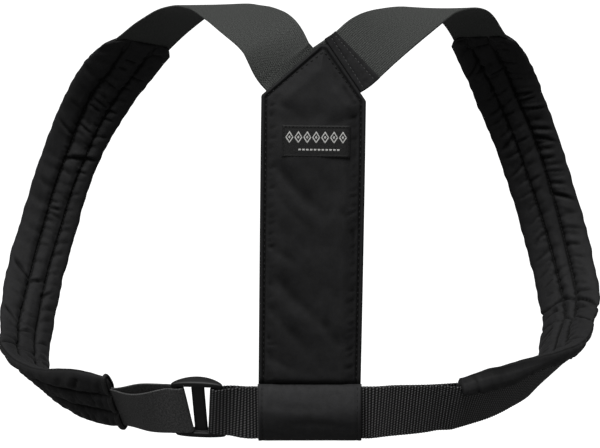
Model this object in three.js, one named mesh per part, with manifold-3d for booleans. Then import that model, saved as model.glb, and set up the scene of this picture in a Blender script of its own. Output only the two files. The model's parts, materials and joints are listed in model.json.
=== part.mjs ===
// Posture corrector: a harness that is worn over both shoulders and draws them back.
//
// Millimetres, +Z up. -Y is the wearer's back, +Y the chest, +X the wearer's right hand side.
// Z = 0 is the height at which the elastic straps cross the shoulders, Y = 0 is the line of that
// crossing, and X = 0 is the middle of the back panel's bottom edge.

import * as THREE from "three";
import { mergeVertices } from "three/addons/utils/BufferGeometryUtils.js";
import Module from "manifold-3d";

// Form of the worn harness
const leftReach = 225; // middle plane to the left arm loop's widest point
const rightReach = 211;
const chestDepth = 100; // shoulder line forward to the pads
const backDepth = 109; // shoulder line back to the panel's inner face
const tipDrop = 22; // shoulder line down to the panel's point
const panelLean = 3; // how far the panel's top sits to the right of its bottom

// Back panel and its sleeve
const panelWidth = 71;
const panelHeight = 232; // seam above the sleeve up to the point
const panelThickness = 8.5;
const panelEdge = 3.5; // thickness at the sewn edge
const leftCornerDrop = 35; // point down to the left corner
const rightCornerDrop = 38;
const tipOffset = 6.5; // the point lies to the right of the panel's middle
const tipWidth = 5;
const sleeveWall = 1.2;
const sleeveCrown = 2.4; // how far the sleeve's outer face bulges
const sleeveTilt = 0.09; // slope of the sleeve, its top towards the back
const sleeveOverhang = 0.5; // the sleeve is this much wider than the panel on each side

// Label
const labelWidth = 46;
const labelHeight = 21.5;
const labelThickness = 0.8;
const labelDrop = 65.5; // point down to the label's middle
const labelOffset = 2; // the label sits to the right of the panel's middle

// Elastic straps
const elasticWidth = 43.5;
const elasticThickness = 1.8;
const elasticTuck = 9; // length behind the panel
const flatFrom = 1.5; // past the panel's edge each strap lies flat from here
const flatTo = 8; // to here
const rightElasticShift = 5.5; // the right strap sits this far up its slanted edge
const tabLength = 12.5;
const tabWidth = 44;
const tabThickness = 1.6;

// Shoulder pads
const padTopWidth = 53;
const leftPadWidth = 46.5;
const rightPadWidth = 51;
const padThickness = 10.5;
const padEndWidth = 39;
const padEndThickness = 6;
const padShoulder = 130; // length over which a pad narrows from its top
const padTaper = 22; // length over which it narrows again to its back end
const padOffset = 4.5; // the right pad sits this far above the webbing on it
const padLeadIn = 26; // length over which an end swells to the full thickness
const leftPadSkew = -0.27; // slope of the left pad's top across it
const rightPadSkew = 0.12;
const slantRun = 60; // length over which that slope fades
const pocketDepth = 12; // length of strap sewn into a pad's end
const bindingWidth = 5;
const bindingThickness = 1.2;

// Belt
const webbingWidth = 38;
const webbingThickness = 1.5;
const webbingOnPad = 96; // length of webbing that lies on the right pad
const webbingTail = 2; // the free end stops this far before the right pad
const loopWidth = 35;
const loopThickness = 1.2;
const loopOpening = 9; // how far the two layers of the left loop stand apart
const closingRun = 22; // length over which the webbing's layers close behind the buckle's bar
const steppingRun = 14; // length over which the webbing steps off the pad
const straightRun = 8; // length of belt that lies straight beside the sleeve's mouth

// Slide buckle
const buckleLength = 36; // along the belt
const railHeight = 4.6;
const railThin = 2.4;
const railThick = 8.6;
const endBarWidth = 5;
const endBarThickness = 3;
const middleBarWidth = 8.4;
const middleBarThickness = 3.4;
const barPlay = 0.8; // spare length of the bars beside the webbing
const barApproach = 8; // length of the left loop that lies straight behind its bar

const gap = 0.3; // between pieces that touch
const layerGap = 0.5; // between two layers of the belt
const seamGap = 0.45; // between the panel's bottom edge and its sleeve

// Spacing of the sections along each piece
const panelStep = 14;
const pointStep = 5; // where the panel narrows to its point
const labelStep = 6;
const elasticStep = 5;
const tabStep = 2.5;
const padStep = 11;
const pocketStep = 3;
const beltStep = 7;
const sleeveStep = 12;
const routeSamples = 1200;

// Sizes that follow
const halfPanel = panelWidth / 2;
const sleeveHeight = webbingWidth + 2 * (gap + sleeveWall);
const sleeveInside = 2 * webbingThickness + layerGap + 2 * gap;
const sleeveRise = sleeveHeight / 2 + (sleeveInside / 2 + sleeveWall) * sleeveTilt;
const beltDrop = tipDrop + panelHeight + seamGap + sleeveRise;
const beltDepth = backDepth + panelThickness / 2;
const barLength = Math.max(webbingWidth, loopWidth) + barPlay;
const barSpacing = buckleLength - endBarWidth;

const wasm = await Module();
wasm.setup();

// Routes
//
// A route is a smooth line through a table of stations. Each station has a place, held as shares of
// the harness's reach, depth and drop, and the direction that the strap's outer face looks to.

function stationPoint(row, reach) {
  const depth = row.y > 0 ? chestDepth : backDepth;
  return new THREE.Vector3(row.x * reach, row.y * depth, row.z * beltDrop);
}

function stationFacing(row) {
  return new THREE.Vector3(...row.facing).normalize();
}

function makeRoute(points, facings) {
  const line = new THREE.CatmullRomCurve3(points, false, "centripetal");
  const faces = new THREE.CatmullRomCurve3(facings, false, "centripetal");
  const samples = routeSamples;
  const lengths = [0];
  let last = line.getPoint(0);
  for (let i = 1; i <= samples; i += 1) {
    const next = line.getPoint(i / samples);
    lengths.push(lengths[i - 1] + next.distanceTo(last));
    last = next;
  }
  const shareAt = (length) => {
    const goal = THREE.MathUtils.clamp(length, 0, lengths[samples]);
    let i = 0;
    while (i < samples - 1 && lengths[i + 1] < goal) i += 1;
    return (i + (goal - lengths[i]) / (lengths[i + 1] - lengths[i])) / samples;
  };
  const lengthAtStation = (station) => lengths[Math.round((station / (points.length - 1)) * samples)];
  const frame = (length) => {
    const share = shareAt(length);
    const along = line.getTangent(share);
    const facing = faces.getPoint(share);
    facing.addScaledVector(along, -facing.dot(along)).normalize();
    const across = new THREE.Vector3().crossVectors(along, facing);
    return { at: line.getPoint(share), along, facing, across, length };
  };
  return { frame, lengthAtStation, total: lengths[samples] };
}

function shiftFrame(frame, out) {
  return { ...frame, at: frame.at.clone().addScaledVector(frame.facing, out) };
}

function flipFrame(frame) {
  return { ...frame, along: frame.along.clone().negate(), facing: frame.facing.clone().negate() };
}

function framesAlong(route, start, end, step) {
  const count = Math.max(2, Math.ceil(Math.abs(end - start) / step));
  return Array.from({ length: count + 1 }, (_, i) => route.frame(start + ((end - start) * i) / count));
}

// Solids from rings
//
// A section has an outer and an inner chain of points with as many points each. A point holds its
// place across the strap and its height along the direction that the strap faces.

function place(frame, [across, out]) {
  return frame.at.clone().addScaledVector(frame.across, across).addScaledVector(frame.facing, out);
}

function solidFromRings(rings, capPairs) {
  const count = rings[0].length;
  const positions = rings.flat().flatMap((p) => [p.x, p.y, p.z]);
  const triangles = [];
  const quad = (a, b, c, d) => triangles.push(a, b, c, a, c, d);
  for (let r = 0; r < rings.length - 1; r += 1) {
    for (let i = 0; i < count; i += 1) {
      const j = (i + 1) % count;
      quad(r * count + i, r * count + j, (r + 1) * count + j, (r + 1) * count + i);
    }
  }
  const lastRing = (rings.length - 1) * count;
  capPairs.forEach(([a, b, c, d]) => {
    quad(a, d, c, b);
    quad(lastRing + a, lastRing + b, lastRing + c, lastRing + d);
  });
  const geometry = new THREE.BufferGeometry();
  geometry.setAttribute("position", new THREE.Float32BufferAttribute(positions, 3));
  geometry.setIndex(triangles);
  return facesOut(geometry);
}

// Turns a closed geometry's faces round where they point inward.
function facesOut(geometry) {
  const p = geometry.attributes.position;
  const index = geometry.index.array;
  let volume = 0;
  const [a, b, c] = [new THREE.Vector3(), new THREE.Vector3(), new THREE.Vector3()];
  for (let i = 0; i < index.length; i += 3) {
    a.fromBufferAttribute(p, index[i]);
    b.fromBufferAttribute(p, index[i + 1]);
    c.fromBufferAttribute(p, index[i + 2]);
    volume += a.dot(b.cross(c));
  }
  if (volume < 0) {
    for (let i = 0; i < index.length; i += 3) {
      [index[i + 1], index[i + 2]] = [index[i + 2], index[i + 1]];
    }
  }
  return geometry;
}

// A skew slants the band's first end: its far side starts further along.
function band(frames, sectionAt, { skew = 0, skewRun = 1 } = {}) {
  const rings = frames.map((frame) => {
    const { outer, inner } = sectionAt(frame.length);
    const slant = skew * (1 - THREE.MathUtils.smoothstep(frame.length - frames[0].length, 0, skewRun));
    return [...outer, ...[...inner].reverse()].map(
      (point) => place(frame, point).addScaledVector(frame.along, slant * point[0]),
    );
  });
  const n = rings[0].length;
  const capPairs = Array.from({ length: n / 2 - 1 }, (_, i) => [i, i + 1, n - 2 - i, n - 1 - i]);
  return solidFromRings(rings, capPairs);
}

function flatSection(width, thickness) {
  const chain = (out) => [-1, -0.5, 0, 0.5, 1].map((a) => [(a * width) / 2, out]);
  return () => ({ outer: chain(thickness / 2), inner: chain(-thickness / 2) });
}

// A tube with a hole all the way through: both outlines are rings with as many points each.
function sleeve(frames, outline, hole) {
  const count = outline.length;
  const rings = frames.map((frame) => [...outline, ...hole].map((point) => place(frame, point)));
  const positions = rings.flat().flatMap((p) => [p.x, p.y, p.z]);
  const triangles = [];
  const quad = (a, b, c, d) => triangles.push(a, b, c, a, c, d);
  const at = (ring, part, i) => ring * 2 * count + part * count + (i % count);
  for (let i = 0; i < count; i += 1) {
    for (let r = 0; r < rings.length - 1; r += 1) {
      quad(at(r, 0, i), at(r, 0, i + 1), at(r + 1, 0, i + 1), at(r + 1, 0, i));
      quad(at(r, 1, i + 1), at(r, 1, i), at(r + 1, 1, i), at(r + 1, 1, i + 1));
    }
    const end = rings.length - 1;
    quad(at(0, 0, i + 1), at(0, 0, i), at(0, 1, i), at(0, 1, i + 1));
    quad(at(end, 0, i), at(end, 0, i + 1), at(end, 1, i + 1), at(end, 1, i));
  }
  const geometry = new THREE.BufferGeometry();
  geometry.setAttribute("position", new THREE.Float32BufferAttribute(positions, 3));
  geometry.setIndex(triangles);
  return facesOut(geometry);
}

// Cutting and joining

function toManifold(geometry) {
  const bare = geometry.clone();
  bare.deleteAttribute("normal");
  bare.deleteAttribute("uv");
  const merged = mergeVertices(bare, 1e-4);
  return new wasm.Manifold(new wasm.Mesh({
    numProp: 3,
    vertProperties: new Float32Array(merged.attributes.position.array),
    triVerts: new Uint32Array(merged.index.array),
  }));
}

function toGeometry(solid) {
  const mesh = solid.getMesh();
  const geometry = new THREE.BufferGeometry();
  geometry.setAttribute("position", new THREE.BufferAttribute(new Float32Array(mesh.vertProperties), 3));
  geometry.setIndex(new THREE.BufferAttribute(new Uint32Array(mesh.triVerts), 1));
  return geometry;
}

function cut(geometry, ...tools) {
  const start = toManifold(geometry);
  return toGeometry(tools.reduce((solid, tool) => solid.subtract(toManifold(tool)), start));
}

function join(...geometries) {
  const [first, ...others] = geometries.map(toManifold);
  return toGeometry(others.reduce((solid, next) => solid.add(next), first));
}

// Back panel
//
// Its stations run from the seam up to the point: how high, as a share of the panel's height, and how
// far back the inner face lies, as a share of the back's depth.
const panelRows = [
  { rise: 0.0, depth: 1.0 },
  { rise: 0.05, depth: 1.0 },
  { rise: 0.17, depth: 1.008 },
  { rise: 0.35, depth: 1.01 },
  { rise: 0.57, depth: 0.995 },
  { rise: 0.72, depth: 0.966 },
  { rise: 0.84, depth: 0.93 },
  { rise: 0.92, depth: 0.902 },
  { rise: 1.0, depth: 0.874 },
];

const panelBottom = -(tipDrop + panelHeight);
const panelRoute = (() => {
  const points = panelRows.map(
    ({ rise, depth }) => new THREE.Vector3(panelLean * rise, -depth * backDepth, panelBottom + rise * panelHeight),
  );
  return makeRoute(points, points.map(() => new THREE.Vector3(0, -1, 0)));
})();

// The panel's left and right edges at a height above the seam, from its middle line.
function panelEdges(length) {
  const rise = length / panelRoute.total;
  const slant = (drop) => THREE.MathUtils.clamp((1 - rise) * panelHeight / drop, 0, 1);
  const left = THREE.MathUtils.lerp(tipOffset - tipWidth / 2, -halfPanel, slant(leftCornerDrop));
  const right = THREE.MathUtils.lerp(tipOffset + tipWidth / 2, halfPanel, slant(rightCornerDrop));
  return { left, right };
}

const panelAcross = [-1, -0.93, -0.78, -0.5, -0.2, 0.2, 0.5, 0.78, 0.93, 1];
const crownPower = 3.2; // how square the panel's crown is

function panelHeightOver(length, across) {
  const { left, right } = panelEdges(length);
  const half = (right - left) / 2;
  const fullness = THREE.MathUtils.clamp(half / halfPanel, 0, 1);
  const swell = (panelThickness - panelEdge) * fullness * (1 - Math.abs(across) ** crownPower);
  return panelEdge + swell;
}

function panelSection(length) {
  const { left, right } = panelEdges(length);
  const middle = (left + right) / 2;
  const half = (right - left) / 2;
  const outer = panelAcross.map((a) => [middle + a * half, panelHeightOver(length, a)]);
  const inner = panelAcross.map((a) => [middle + a * half, 0]);
  return { outer, inner };
}

const backPanel = (() => {
  const straight = panelRoute.total * (1 - Math.max(leftCornerDrop, rightCornerDrop) / panelHeight);
  const lower = framesAlong(panelRoute, 0, straight, panelStep);
  const upper = framesAlong(panelRoute, straight, panelRoute.total, pointStep);
  return band([...lower, ...upper.slice(1)], panelSection);
})();

const labelPatch = (() => {
  const middle = panelRoute.total * (1 - labelDrop / panelHeight);
  const frames = framesAlong(panelRoute, middle - labelHeight / 2, middle + labelHeight / 2, labelStep);
  const across = [-1, -0.75, -0.5, -0.25, 0, 0.25, 0.5, 0.75, 1];
  return band(frames, (length) => {
    const chain = (lift) => across.map((a) => {
      const x = (a * labelWidth) / 2 + labelOffset;
      return [x, panelHeightOver(length, x / halfPanel) + lift];
    });
    return { outer: chain(gap + labelThickness), inner: chain(gap) };
  });
})();

// The frame on the panel's inner face where an elastic strap leaves one of the slanted edges, with
// the strap's direction along it.
function strapStart(side, shift, layer) {
  const drop = side < 0 ? leftCornerDrop : rightCornerDrop;
  const frame = panelRoute.frame(panelRoute.total * (1 - drop / 2 / panelHeight));
  const edges = panelEdges(frame.length);
  const edge = side < 0 ? edges.left : edges.right;
  const slope = new THREE.Vector2(tipOffset + side * (tipWidth / 2 - halfPanel), drop).normalize();
  const uphill = frame.across.clone().multiplyScalar(slope.x).addScaledVector(frame.along, slope.y);
  const out = frame.across.clone().multiplyScalar(side * slope.y).addScaledVector(frame.along, -side * slope.x);
  const at = place(frame, [edge, -layer]).addScaledVector(uphill, shift);
  return { at, out, facing: frame.facing };
}

// Right side: panel, over the shoulder, down the chest, round under the arm and along the belt to
// the buckle's right bar.
const rightRows = [
  { x: 0.2, y: -0.8, z: -0.076, facing: [0.12, -0.88, 0.4] },
  { x: 0.3, y: -0.53, z: -0.033, facing: [0.1, -0.6, 0.8] },
  { x: 0.434, y: -0.07, z: -0.004, facing: [0.0, -0.08, 1.0] },
  { x: 0.55, y: 0.3, z: -0.02, facing: [0.2, 0.5, 0.85] },
  { x: 0.642, y: 0.62, z: -0.1, facing: [0.35, 0.8, 0.48] },
  { x: 0.725, y: 0.82, z: -0.2, facing: [0.2, 0.94, 0.25] },
  { x: 0.78, y: 0.92, z: -0.29, facing: [0.1, 0.98, 0.12] },
  { x: 0.833, y: 0.98, z: -0.38, facing: [0.05, 0.99, 0.05] },
  { x: 0.897, y: 1.0, z: -0.515, facing: [0.05, 0.99, 0.0] },
  { x: 0.95, y: 0.95, z: -0.648, facing: [0.12, 0.98, -0.05] },
  { x: 0.986, y: 0.8, z: -0.774, facing: [0.3, 0.92, -0.15] },
  { x: 0.992, y: 0.56, z: -0.868, facing: [0.52, 0.7, -0.42] },
  { x: 0.95, y: 0.28, z: -0.925, facing: [0.66, 0.3, -0.66] },
  { x: 0.9, y: -0.08, z: -0.955, facing: [0.6, -0.15, -0.76] },
  { x: 0.81, y: -0.4, z: -0.972, facing: [0.46, -0.58, -0.66] },
  { x: 0.71, y: -0.58, z: -0.985, facing: [0.36, -0.74, -0.57] },
  { x: 0.61, y: -0.72, z: -0.997, facing: [0.28, -0.83, -0.5] },
  { x: 0.52, y: -0.83, z: -1.0, facing: [0.2, -0.88, -0.42] },
];
const rightPadTop = 4; // counted in rows of this table
const rightPadEnd = 17.3;

const rightBeltRows = [
  { x: 0.4, y: -0.925, z: -1.003, facing: [0.1, -0.95, -0.25] },
  { x: 0.27, y: -0.995, z: -1.001, facing: [0.03, -0.99, -0.12] },
];

const buckleRows = [
  { x: -0.235, y: -1.02, z: -0.998, facing: [-0.04, -0.97, -0.22] },
  { x: -0.275, y: -1.01, z: -0.998, facing: [-0.08, -0.93, -0.34] },
];

const sleeveFacing = new THREE.Vector3(0, -1, -sleeveTilt).normalize();
const sleeveHalf = halfPanel + sleeveOverhang;

// The belt runs straight through the sleeve: just outside it, inside its mouth and at its middle.
const beltRun = [
  sleeveHalf + straightRun,
  sleeveHalf - straightRun / 2,
  0,
  straightRun / 2 - sleeveHalf,
  -sleeveHalf - straightRun,
];

// Each route starts flat on the panel's inner face: behind the edge, at it and just past it.
const startRun = [-elasticTuck, flatFrom, flatTo];

function startPoints(start) {
  return startRun.map((run) => start.at.clone().addScaledVector(start.out, run));
}

function lengthAtRow(route, row) {
  return route.lengthAtStation(startRun.length + row);
}

const rightLayer = gap + elasticThickness / 2;
const leftLayer = rightLayer + elasticThickness + gap;

const rightRoute = (() => {
  const start = strapStart(1, rightElasticShift, rightLayer);
  const rows = [...rightRows, ...rightBeltRows];
  const beltMiddle = beltRun.map((x) => new THREE.Vector3(x, -beltDepth, -beltDrop));
  const points = [
    ...startPoints(start),
    ...rows.map((row) => stationPoint(row, rightReach)),
    ...beltMiddle,
    ...buckleRows.map((row) => stationPoint(row, leftReach)),
  ];
  const facings = [
    ...startRun.map(() => start.facing),
    ...rows.map(stationFacing),
    ...beltMiddle.map(() => sleeveFacing),
    ...buckleRows.map(stationFacing),
  ];
  return makeRoute(points, facings);
})();

// Buckle: its right bar lies at the end of the right route, and its left bar at the left route's end.
// The left route comes straight up to its bar.
const rightBar = rightRoute.frame(rightRoute.total);
const leftBarRun = [barSpacing + barApproach, barSpacing];

const leftRows = [
  { x: -0.12, y: -0.8, z: -0.065, facing: [0.0, -0.9, 0.45] },
  { x: -0.206, y: -0.53, z: -0.02, facing: [0.0, -0.6, 0.8] },
  { x: -0.318, y: -0.07, z: 0.005, facing: [0.0, -0.08, 1.0] },
  { x: -0.433, y: 0.32, z: -0.022, facing: [-0.2, 0.5, 0.85] },
  { x: -0.575, y: 0.62, z: -0.11, facing: [-0.35, 0.8, 0.48] },
  { x: -0.7, y: 0.82, z: -0.215, facing: [-0.2, 0.94, 0.25] },
  { x: -0.769, y: 0.92, z: -0.297, facing: [-0.08, 0.98, 0.12] },
  { x: -0.826, y: 0.98, z: -0.38, facing: [0.0, 0.99, 0.05] },
  { x: -0.896, y: 1.0, z: -0.516, facing: [0.06, 0.99, 0.0] },
  { x: -0.945, y: 0.95, z: -0.648, facing: [0.0, 1.0, -0.05] },
  { x: -0.985, y: 0.8, z: -0.774, facing: [-0.22, 0.94, -0.15] },
  { x: -0.997, y: 0.52, z: -0.886, facing: [-0.52, 0.74, -0.35] },
  { x: -0.99, y: 0.28, z: -0.953, facing: [-0.7, 0.35, -0.6] },
  { x: -0.942, y: -0.11, z: -0.99, facing: [-0.66, -0.15, -0.72] },
  { x: -0.838, y: -0.455, z: -1.002, facing: [-0.45, -0.6, -0.65] },
  { x: -0.732, y: -0.66, z: -1.008, facing: [-0.32, -0.78, -0.54] },
  { x: -0.645, y: -0.79, z: -1.007, facing: [-0.24, -0.84, -0.48] },
  { x: -0.595, y: -0.85, z: -1.008, facing: [-0.2, -0.86, -0.46] },
  { x: -0.5, y: -0.94, z: -1.0, facing: [-0.16, -0.88, -0.44] },
];
const leftPadTop = 4.08;
const leftPadEnd = 16.85;

const leftRoute = (() => {
  const start = strapStart(-1, 0, leftLayer);
  const points = [
    ...startPoints(start),
    ...leftRows.map((row) => stationPoint(row, leftReach)),
    ...leftBarRun.map((run) => rightBar.at.clone().addScaledVector(rightBar.along, run)),
  ];
  const facings = [
    ...startRun.map(() => start.facing),
    ...leftRows.map(stationFacing),
    ...leftBarRun.map(() => rightBar.facing),
  ];
  return makeRoute(points, facings);
})();

// Shoulder pads
//
// The quilted section: across, as shares of the half width, and the half thickness there, as a share
// of the pad's. Two sewn channels lie either side of the middle.
const padProfile = [
  { across: -1.0, rise: 0.22 },
  { across: -0.9, rise: 0.72 },
  { across: -0.66, rise: 1.0 },
  { across: -0.42, rise: 0.9 },
  { across: -0.32, rise: 0.6 },
  { across: -0.22, rise: 0.88 },
  { across: 0.0, rise: 0.96 },
  { across: 0.22, rise: 0.88 },
  { across: 0.32, rise: 0.6 },
  { across: 0.42, rise: 0.9 },
  { across: 0.66, rise: 1.0 },
  { across: 0.9, rise: 0.72 },
  { across: 1.0, rise: 0.22 },
];

// The pad's half width and half thickness at a length along it. It swells from both sewn ends and
// narrows towards the belt.
function padSize(pad, length) {
  const fromTop = length - pad.top;
  const fromEnd = pad.end - length;
  const swell = Math.sin((Math.PI / 2) * THREE.MathUtils.clamp(Math.min(fromTop, fromEnd) / padLeadIn, 0, 1));
  const narrow = THREE.MathUtils.smoothstep(fromTop, 0, padShoulder);
  const taper = THREE.MathUtils.smoothstep(fromEnd, 0, padTaper);
  const width = THREE.MathUtils.lerp(padTopWidth, pad.width, narrow);
  return {
    half: THREE.MathUtils.lerp(padEndWidth, width, taper) / 2,
    rise: THREE.MathUtils.lerp(padEndThickness, padThickness, swell) / 2,
    middle: pad.offset * THREE.MathUtils.smoothstep(length, pad.pressed - padShoulder, pad.pressed),
  };
}

// Under the belt webbing the pad's outer face is pressed flat, and beyond the webbing's edge it stands up
// as a roll. The profile's columns up to the lobe go under the webbing, and the others make the roll.
const lobe = 0.42;

function padSection(pad, length) {
  const { half, rise, middle } = padSize(pad, length);
  const pressed = THREE.MathUtils.smoothstep(length, pad.pressed - padLeadIn, pad.pressed);
  const edge = (webbingWidth / 2 + 2 * gap - middle) / half;
  const outer = padProfile.map((p) => {
    const under = p.across <= lobe;
    const squeezed = under
      ? THREE.MathUtils.mapLinear(p.across, -1, lobe, -1, edge)
      : THREE.MathUtils.mapLinear(p.across, lobe, 1, edge, 1);
    const free = p.rise * rise;
    const flat = under ? Math.min(free, padEndThickness / 2) : free;
    const across = THREE.MathUtils.lerp(p.across, squeezed, pressed);
    return [middle + across * half, THREE.MathUtils.lerp(free, flat, pressed)];
  });
  const inner = padProfile.map((p) => [middle + p.across * half, -p.rise * rise]);
  return { outer, inner };
}

// A pad's skew slants its top, and it is pressed from a length on where the belt lies on it.
const leftPad = {
  top: lengthAtRow(leftRoute, leftPadTop),
  end: lengthAtRow(leftRoute, leftPadEnd),
  width: leftPadWidth,
  skew: leftPadSkew,
  offset: 0,
  pressed: Infinity,
};
const rightPad = {
  top: lengthAtRow(rightRoute, rightPadTop),
  end: lengthAtRow(rightRoute, rightPadEnd),
  width: rightPadWidth,
  skew: rightPadSkew,
  offset: padOffset,
  pressed: lengthAtRow(rightRoute, rightPadEnd) - webbingOnPad,
};

// A room in a pad's end for the strap that is sewn into it.
function pocket(route, start, end, width, thickness) {
  const section = flatSection(width + 2 * gap, thickness + 2 * gap);
  return band(framesAlong(route, start, end, pocketStep), section);
}

// The last stretch of a pad, which a binding may wrap, is straight.
function boundFrames(route, pad) {
  return [route.frame(pad.end - bindingWidth), route.frame(pad.end)];
}

function padFrames(route, pad) {
  const marks = [pad.top, pad.pressed, pad.end - bindingWidth].filter((mark) => mark < pad.end);
  const stretches = marks.slice(1).map((mark, i) => framesAlong(route, marks[i], mark, padStep).slice(0, -1));
  return [...stretches.flat(), ...boundFrames(route, pad)];
}

function shoulderPad(route, pad, pockets) {
  const section = (length) => padSection(pad, length);
  return cut(band(padFrames(route, pad), section, { skew: pad.skew, skewRun: slantRun }), ...pockets);
}

// The pocket in a pad's top reaches past the slanted end.
function topPocket(route, pad) {
  const start = pad.top - Math.abs(pad.skew) * padTopWidth;
  return pocket(route, start, pad.top + pocketDepth + gap, elasticWidth, elasticThickness);
}

const leftTopPocket = topPocket(leftRoute, leftPad);
const rightTopPocket = topPocket(rightRoute, rightPad);
const loopPair = 2 * loopThickness + layerGap;
const leftEndPocket = pocket(leftRoute, leftPad.end - pocketDepth - gap, leftPad.end + pocketDepth, loopWidth, loopPair);

const shoulderPadLeft = shoulderPad(leftRoute, leftPad, [leftTopPocket, leftEndPocket]);
const shoulderPadRight = shoulderPad(rightRoute, rightPad, [rightTopPocket]);

// A bound edge that wraps the pad's end on all sides.
const padBindingLeft = (() => {
  const size = padSize(leftPad, leftPad.end - bindingWidth);
  const ring = (grow) => {
    const chain = padProfile.map((p) => [p.across * (size.half + grow), p.rise * size.rise + grow]);
    const back = chain.map(([across, out]) => [across, -out]).reverse();
    return [...chain, ...back];
  };
  return sleeve(boundFrames(leftRoute, leftPad), ring(gap + bindingThickness), ring(gap));
})();

// Elastic straps

// The stretch that the tab covers has the same frames in both pieces, so that they lie parallel.
const tabStart = elasticTuck + gap;

function tabFrames(route) {
  return framesAlong(route, tabStart, tabStart + tabLength, tabStep);
}

function elasticStrap(route, pad) {
  const tucked = framesAlong(route, 0, tabStart, elasticStep);
  const free = framesAlong(route, tabStart + tabLength, pad.top + pocketDepth, elasticStep);
  const frames = [...tucked.slice(0, -1), ...tabFrames(route), ...free.slice(1)];
  return band(frames, flatSection(elasticWidth, elasticThickness));
}

const strapTabRight = (() => {
  const lift = elasticThickness / 2 + gap + tabThickness / 2;
  const frames = tabFrames(rightRoute).map((frame) => shiftFrame(frame, lift));
  return band(frames, flatSection(tabWidth, tabThickness));
})();

// Belt

// Half an oval round a buckle's bar, from a strap's outer layer to its inner one.
function turnRoundBar(frame, thickness) {
  const reach = endBarWidth / 2 + gap + thickness / 2;
  const lift = endBarThickness / 2 + gap + thickness / 2;
  const steps = 8;
  return Array.from({ length: steps + 1 }, (_, i) => {
    const angle = (Math.PI * i) / steps;
    const at = frame.at.clone().addScaledVector(frame.along, reach * Math.sin(angle));
    at.addScaledVector(frame.facing, lift * Math.cos(angle));
    const facing = frame.along.clone().multiplyScalar(Math.sin(angle) / reach);
    facing.addScaledVector(frame.facing, Math.cos(angle) / lift).normalize();
    return { ...frame, at, facing };
  });
}

// A strap that runs out along a route, round the bar at its end and back inside itself. Each layer has
// its frames on the route and its lift above or below it.
function doubledStrap(route, outer, inner, width, thickness) {
  const out = outer.frames.map((frame) => shiftFrame(frame, outer.lift(frame.length)));
  const back = inner.frames.map((frame) => shiftFrame(frame, -inner.lift(frame.length))).reverse().map(flipFrame);
  const turn = turnRoundBar(route.frame(route.total), thickness);
  return band([...out.slice(0, -1), ...turn, ...back.slice(1)], flatSection(width, thickness));
}

// Height of a layer above the route: at its base it lies on its twin, and at the bar it clears it.
function liftToBar(route, thickness, base, run) {
  const atBar = endBarThickness / 2 + gap + thickness / 2;
  return (length) => THREE.MathUtils.lerp(atBar, base, THREE.MathUtils.smoothstep(route.total - length, 0, run));
}

const beltWebbing = (() => {
  const pair = (webbingThickness + layerGap) / 2;
  const near = liftToBar(rightRoute, webbingThickness, pair, closingRun);
  const onPad = padEndThickness / 2 + gap + webbingThickness / 2;
  const lift = (length) => {
    const past = THREE.MathUtils.smoothstep(length, rightPad.end, rightPad.end + steppingRun);
    return THREE.MathUtils.lerp(onPad, near(length), past);
  };
  const sewn = padFrames(rightRoute, rightPad).filter((frame) => frame.length >= rightPad.pressed);
  const free = framesAlong(rightRoute, rightPad.end, rightRoute.total, beltStep);
  const back = framesAlong(rightRoute, rightPad.end + webbingTail, rightRoute.total, beltStep);
  const outer = { frames: [...sewn.slice(0, -1), ...free], lift };
  return doubledStrap(rightRoute, outer, { frames: back, lift: near }, webbingWidth, webbingThickness);
})();

const strapLoopLeft = (() => {
  const pair = (loopThickness + layerGap) / 2;
  const free = leftRoute.total - leftPad.end;
  const near = liftToBar(leftRoute, loopThickness, pair, free);
  const lift = (length) => {
    const share = THREE.MathUtils.clamp((length - leftPad.end) / free, 0, 1);
    return near(length) + (loopOpening / 2 - pair) * Math.sin(Math.PI * share) ** 2;
  };
  const layer = { frames: framesAlong(leftRoute, leftPad.end - pocketDepth, leftRoute.total, beltStep), lift };
  return doubledStrap(leftRoute, layer, layer, loopWidth, loopThickness);
})();

const beltTunnel = (() => {
  const middle = lengthAtRow(rightRoute, rightRows.length + rightBeltRows.length + 2);
  const inside = [webbingWidth / 2 + gap, sleeveInside / 2];
  const steps = [-1, -0.9, -0.55, 0, 0.55, 0.9, 1];
  const front = steps.map((a) => [a * (inside[0] + sleeveWall), inside[1] + sleeveWall + sleeveCrown * (1 - a * a)]);
  const back = steps.map((a) => [a * (inside[0] + sleeveWall), -inside[1] - sleeveWall * (1 - 0.3 * a ** 4)]);
  const holeFront = steps.map((a) => [a * inside[0], inside[1]]);
  const holeBack = steps.map((a) => [a * inside[0], -inside[1]]);
  const frames = framesAlong(rightRoute, middle - sleeveHalf, middle + sleeveHalf, sleeveStep);
  return sleeve(frames, [...front, ...back.reverse()], [...holeFront, ...holeBack.reverse()]);
})();

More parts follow.
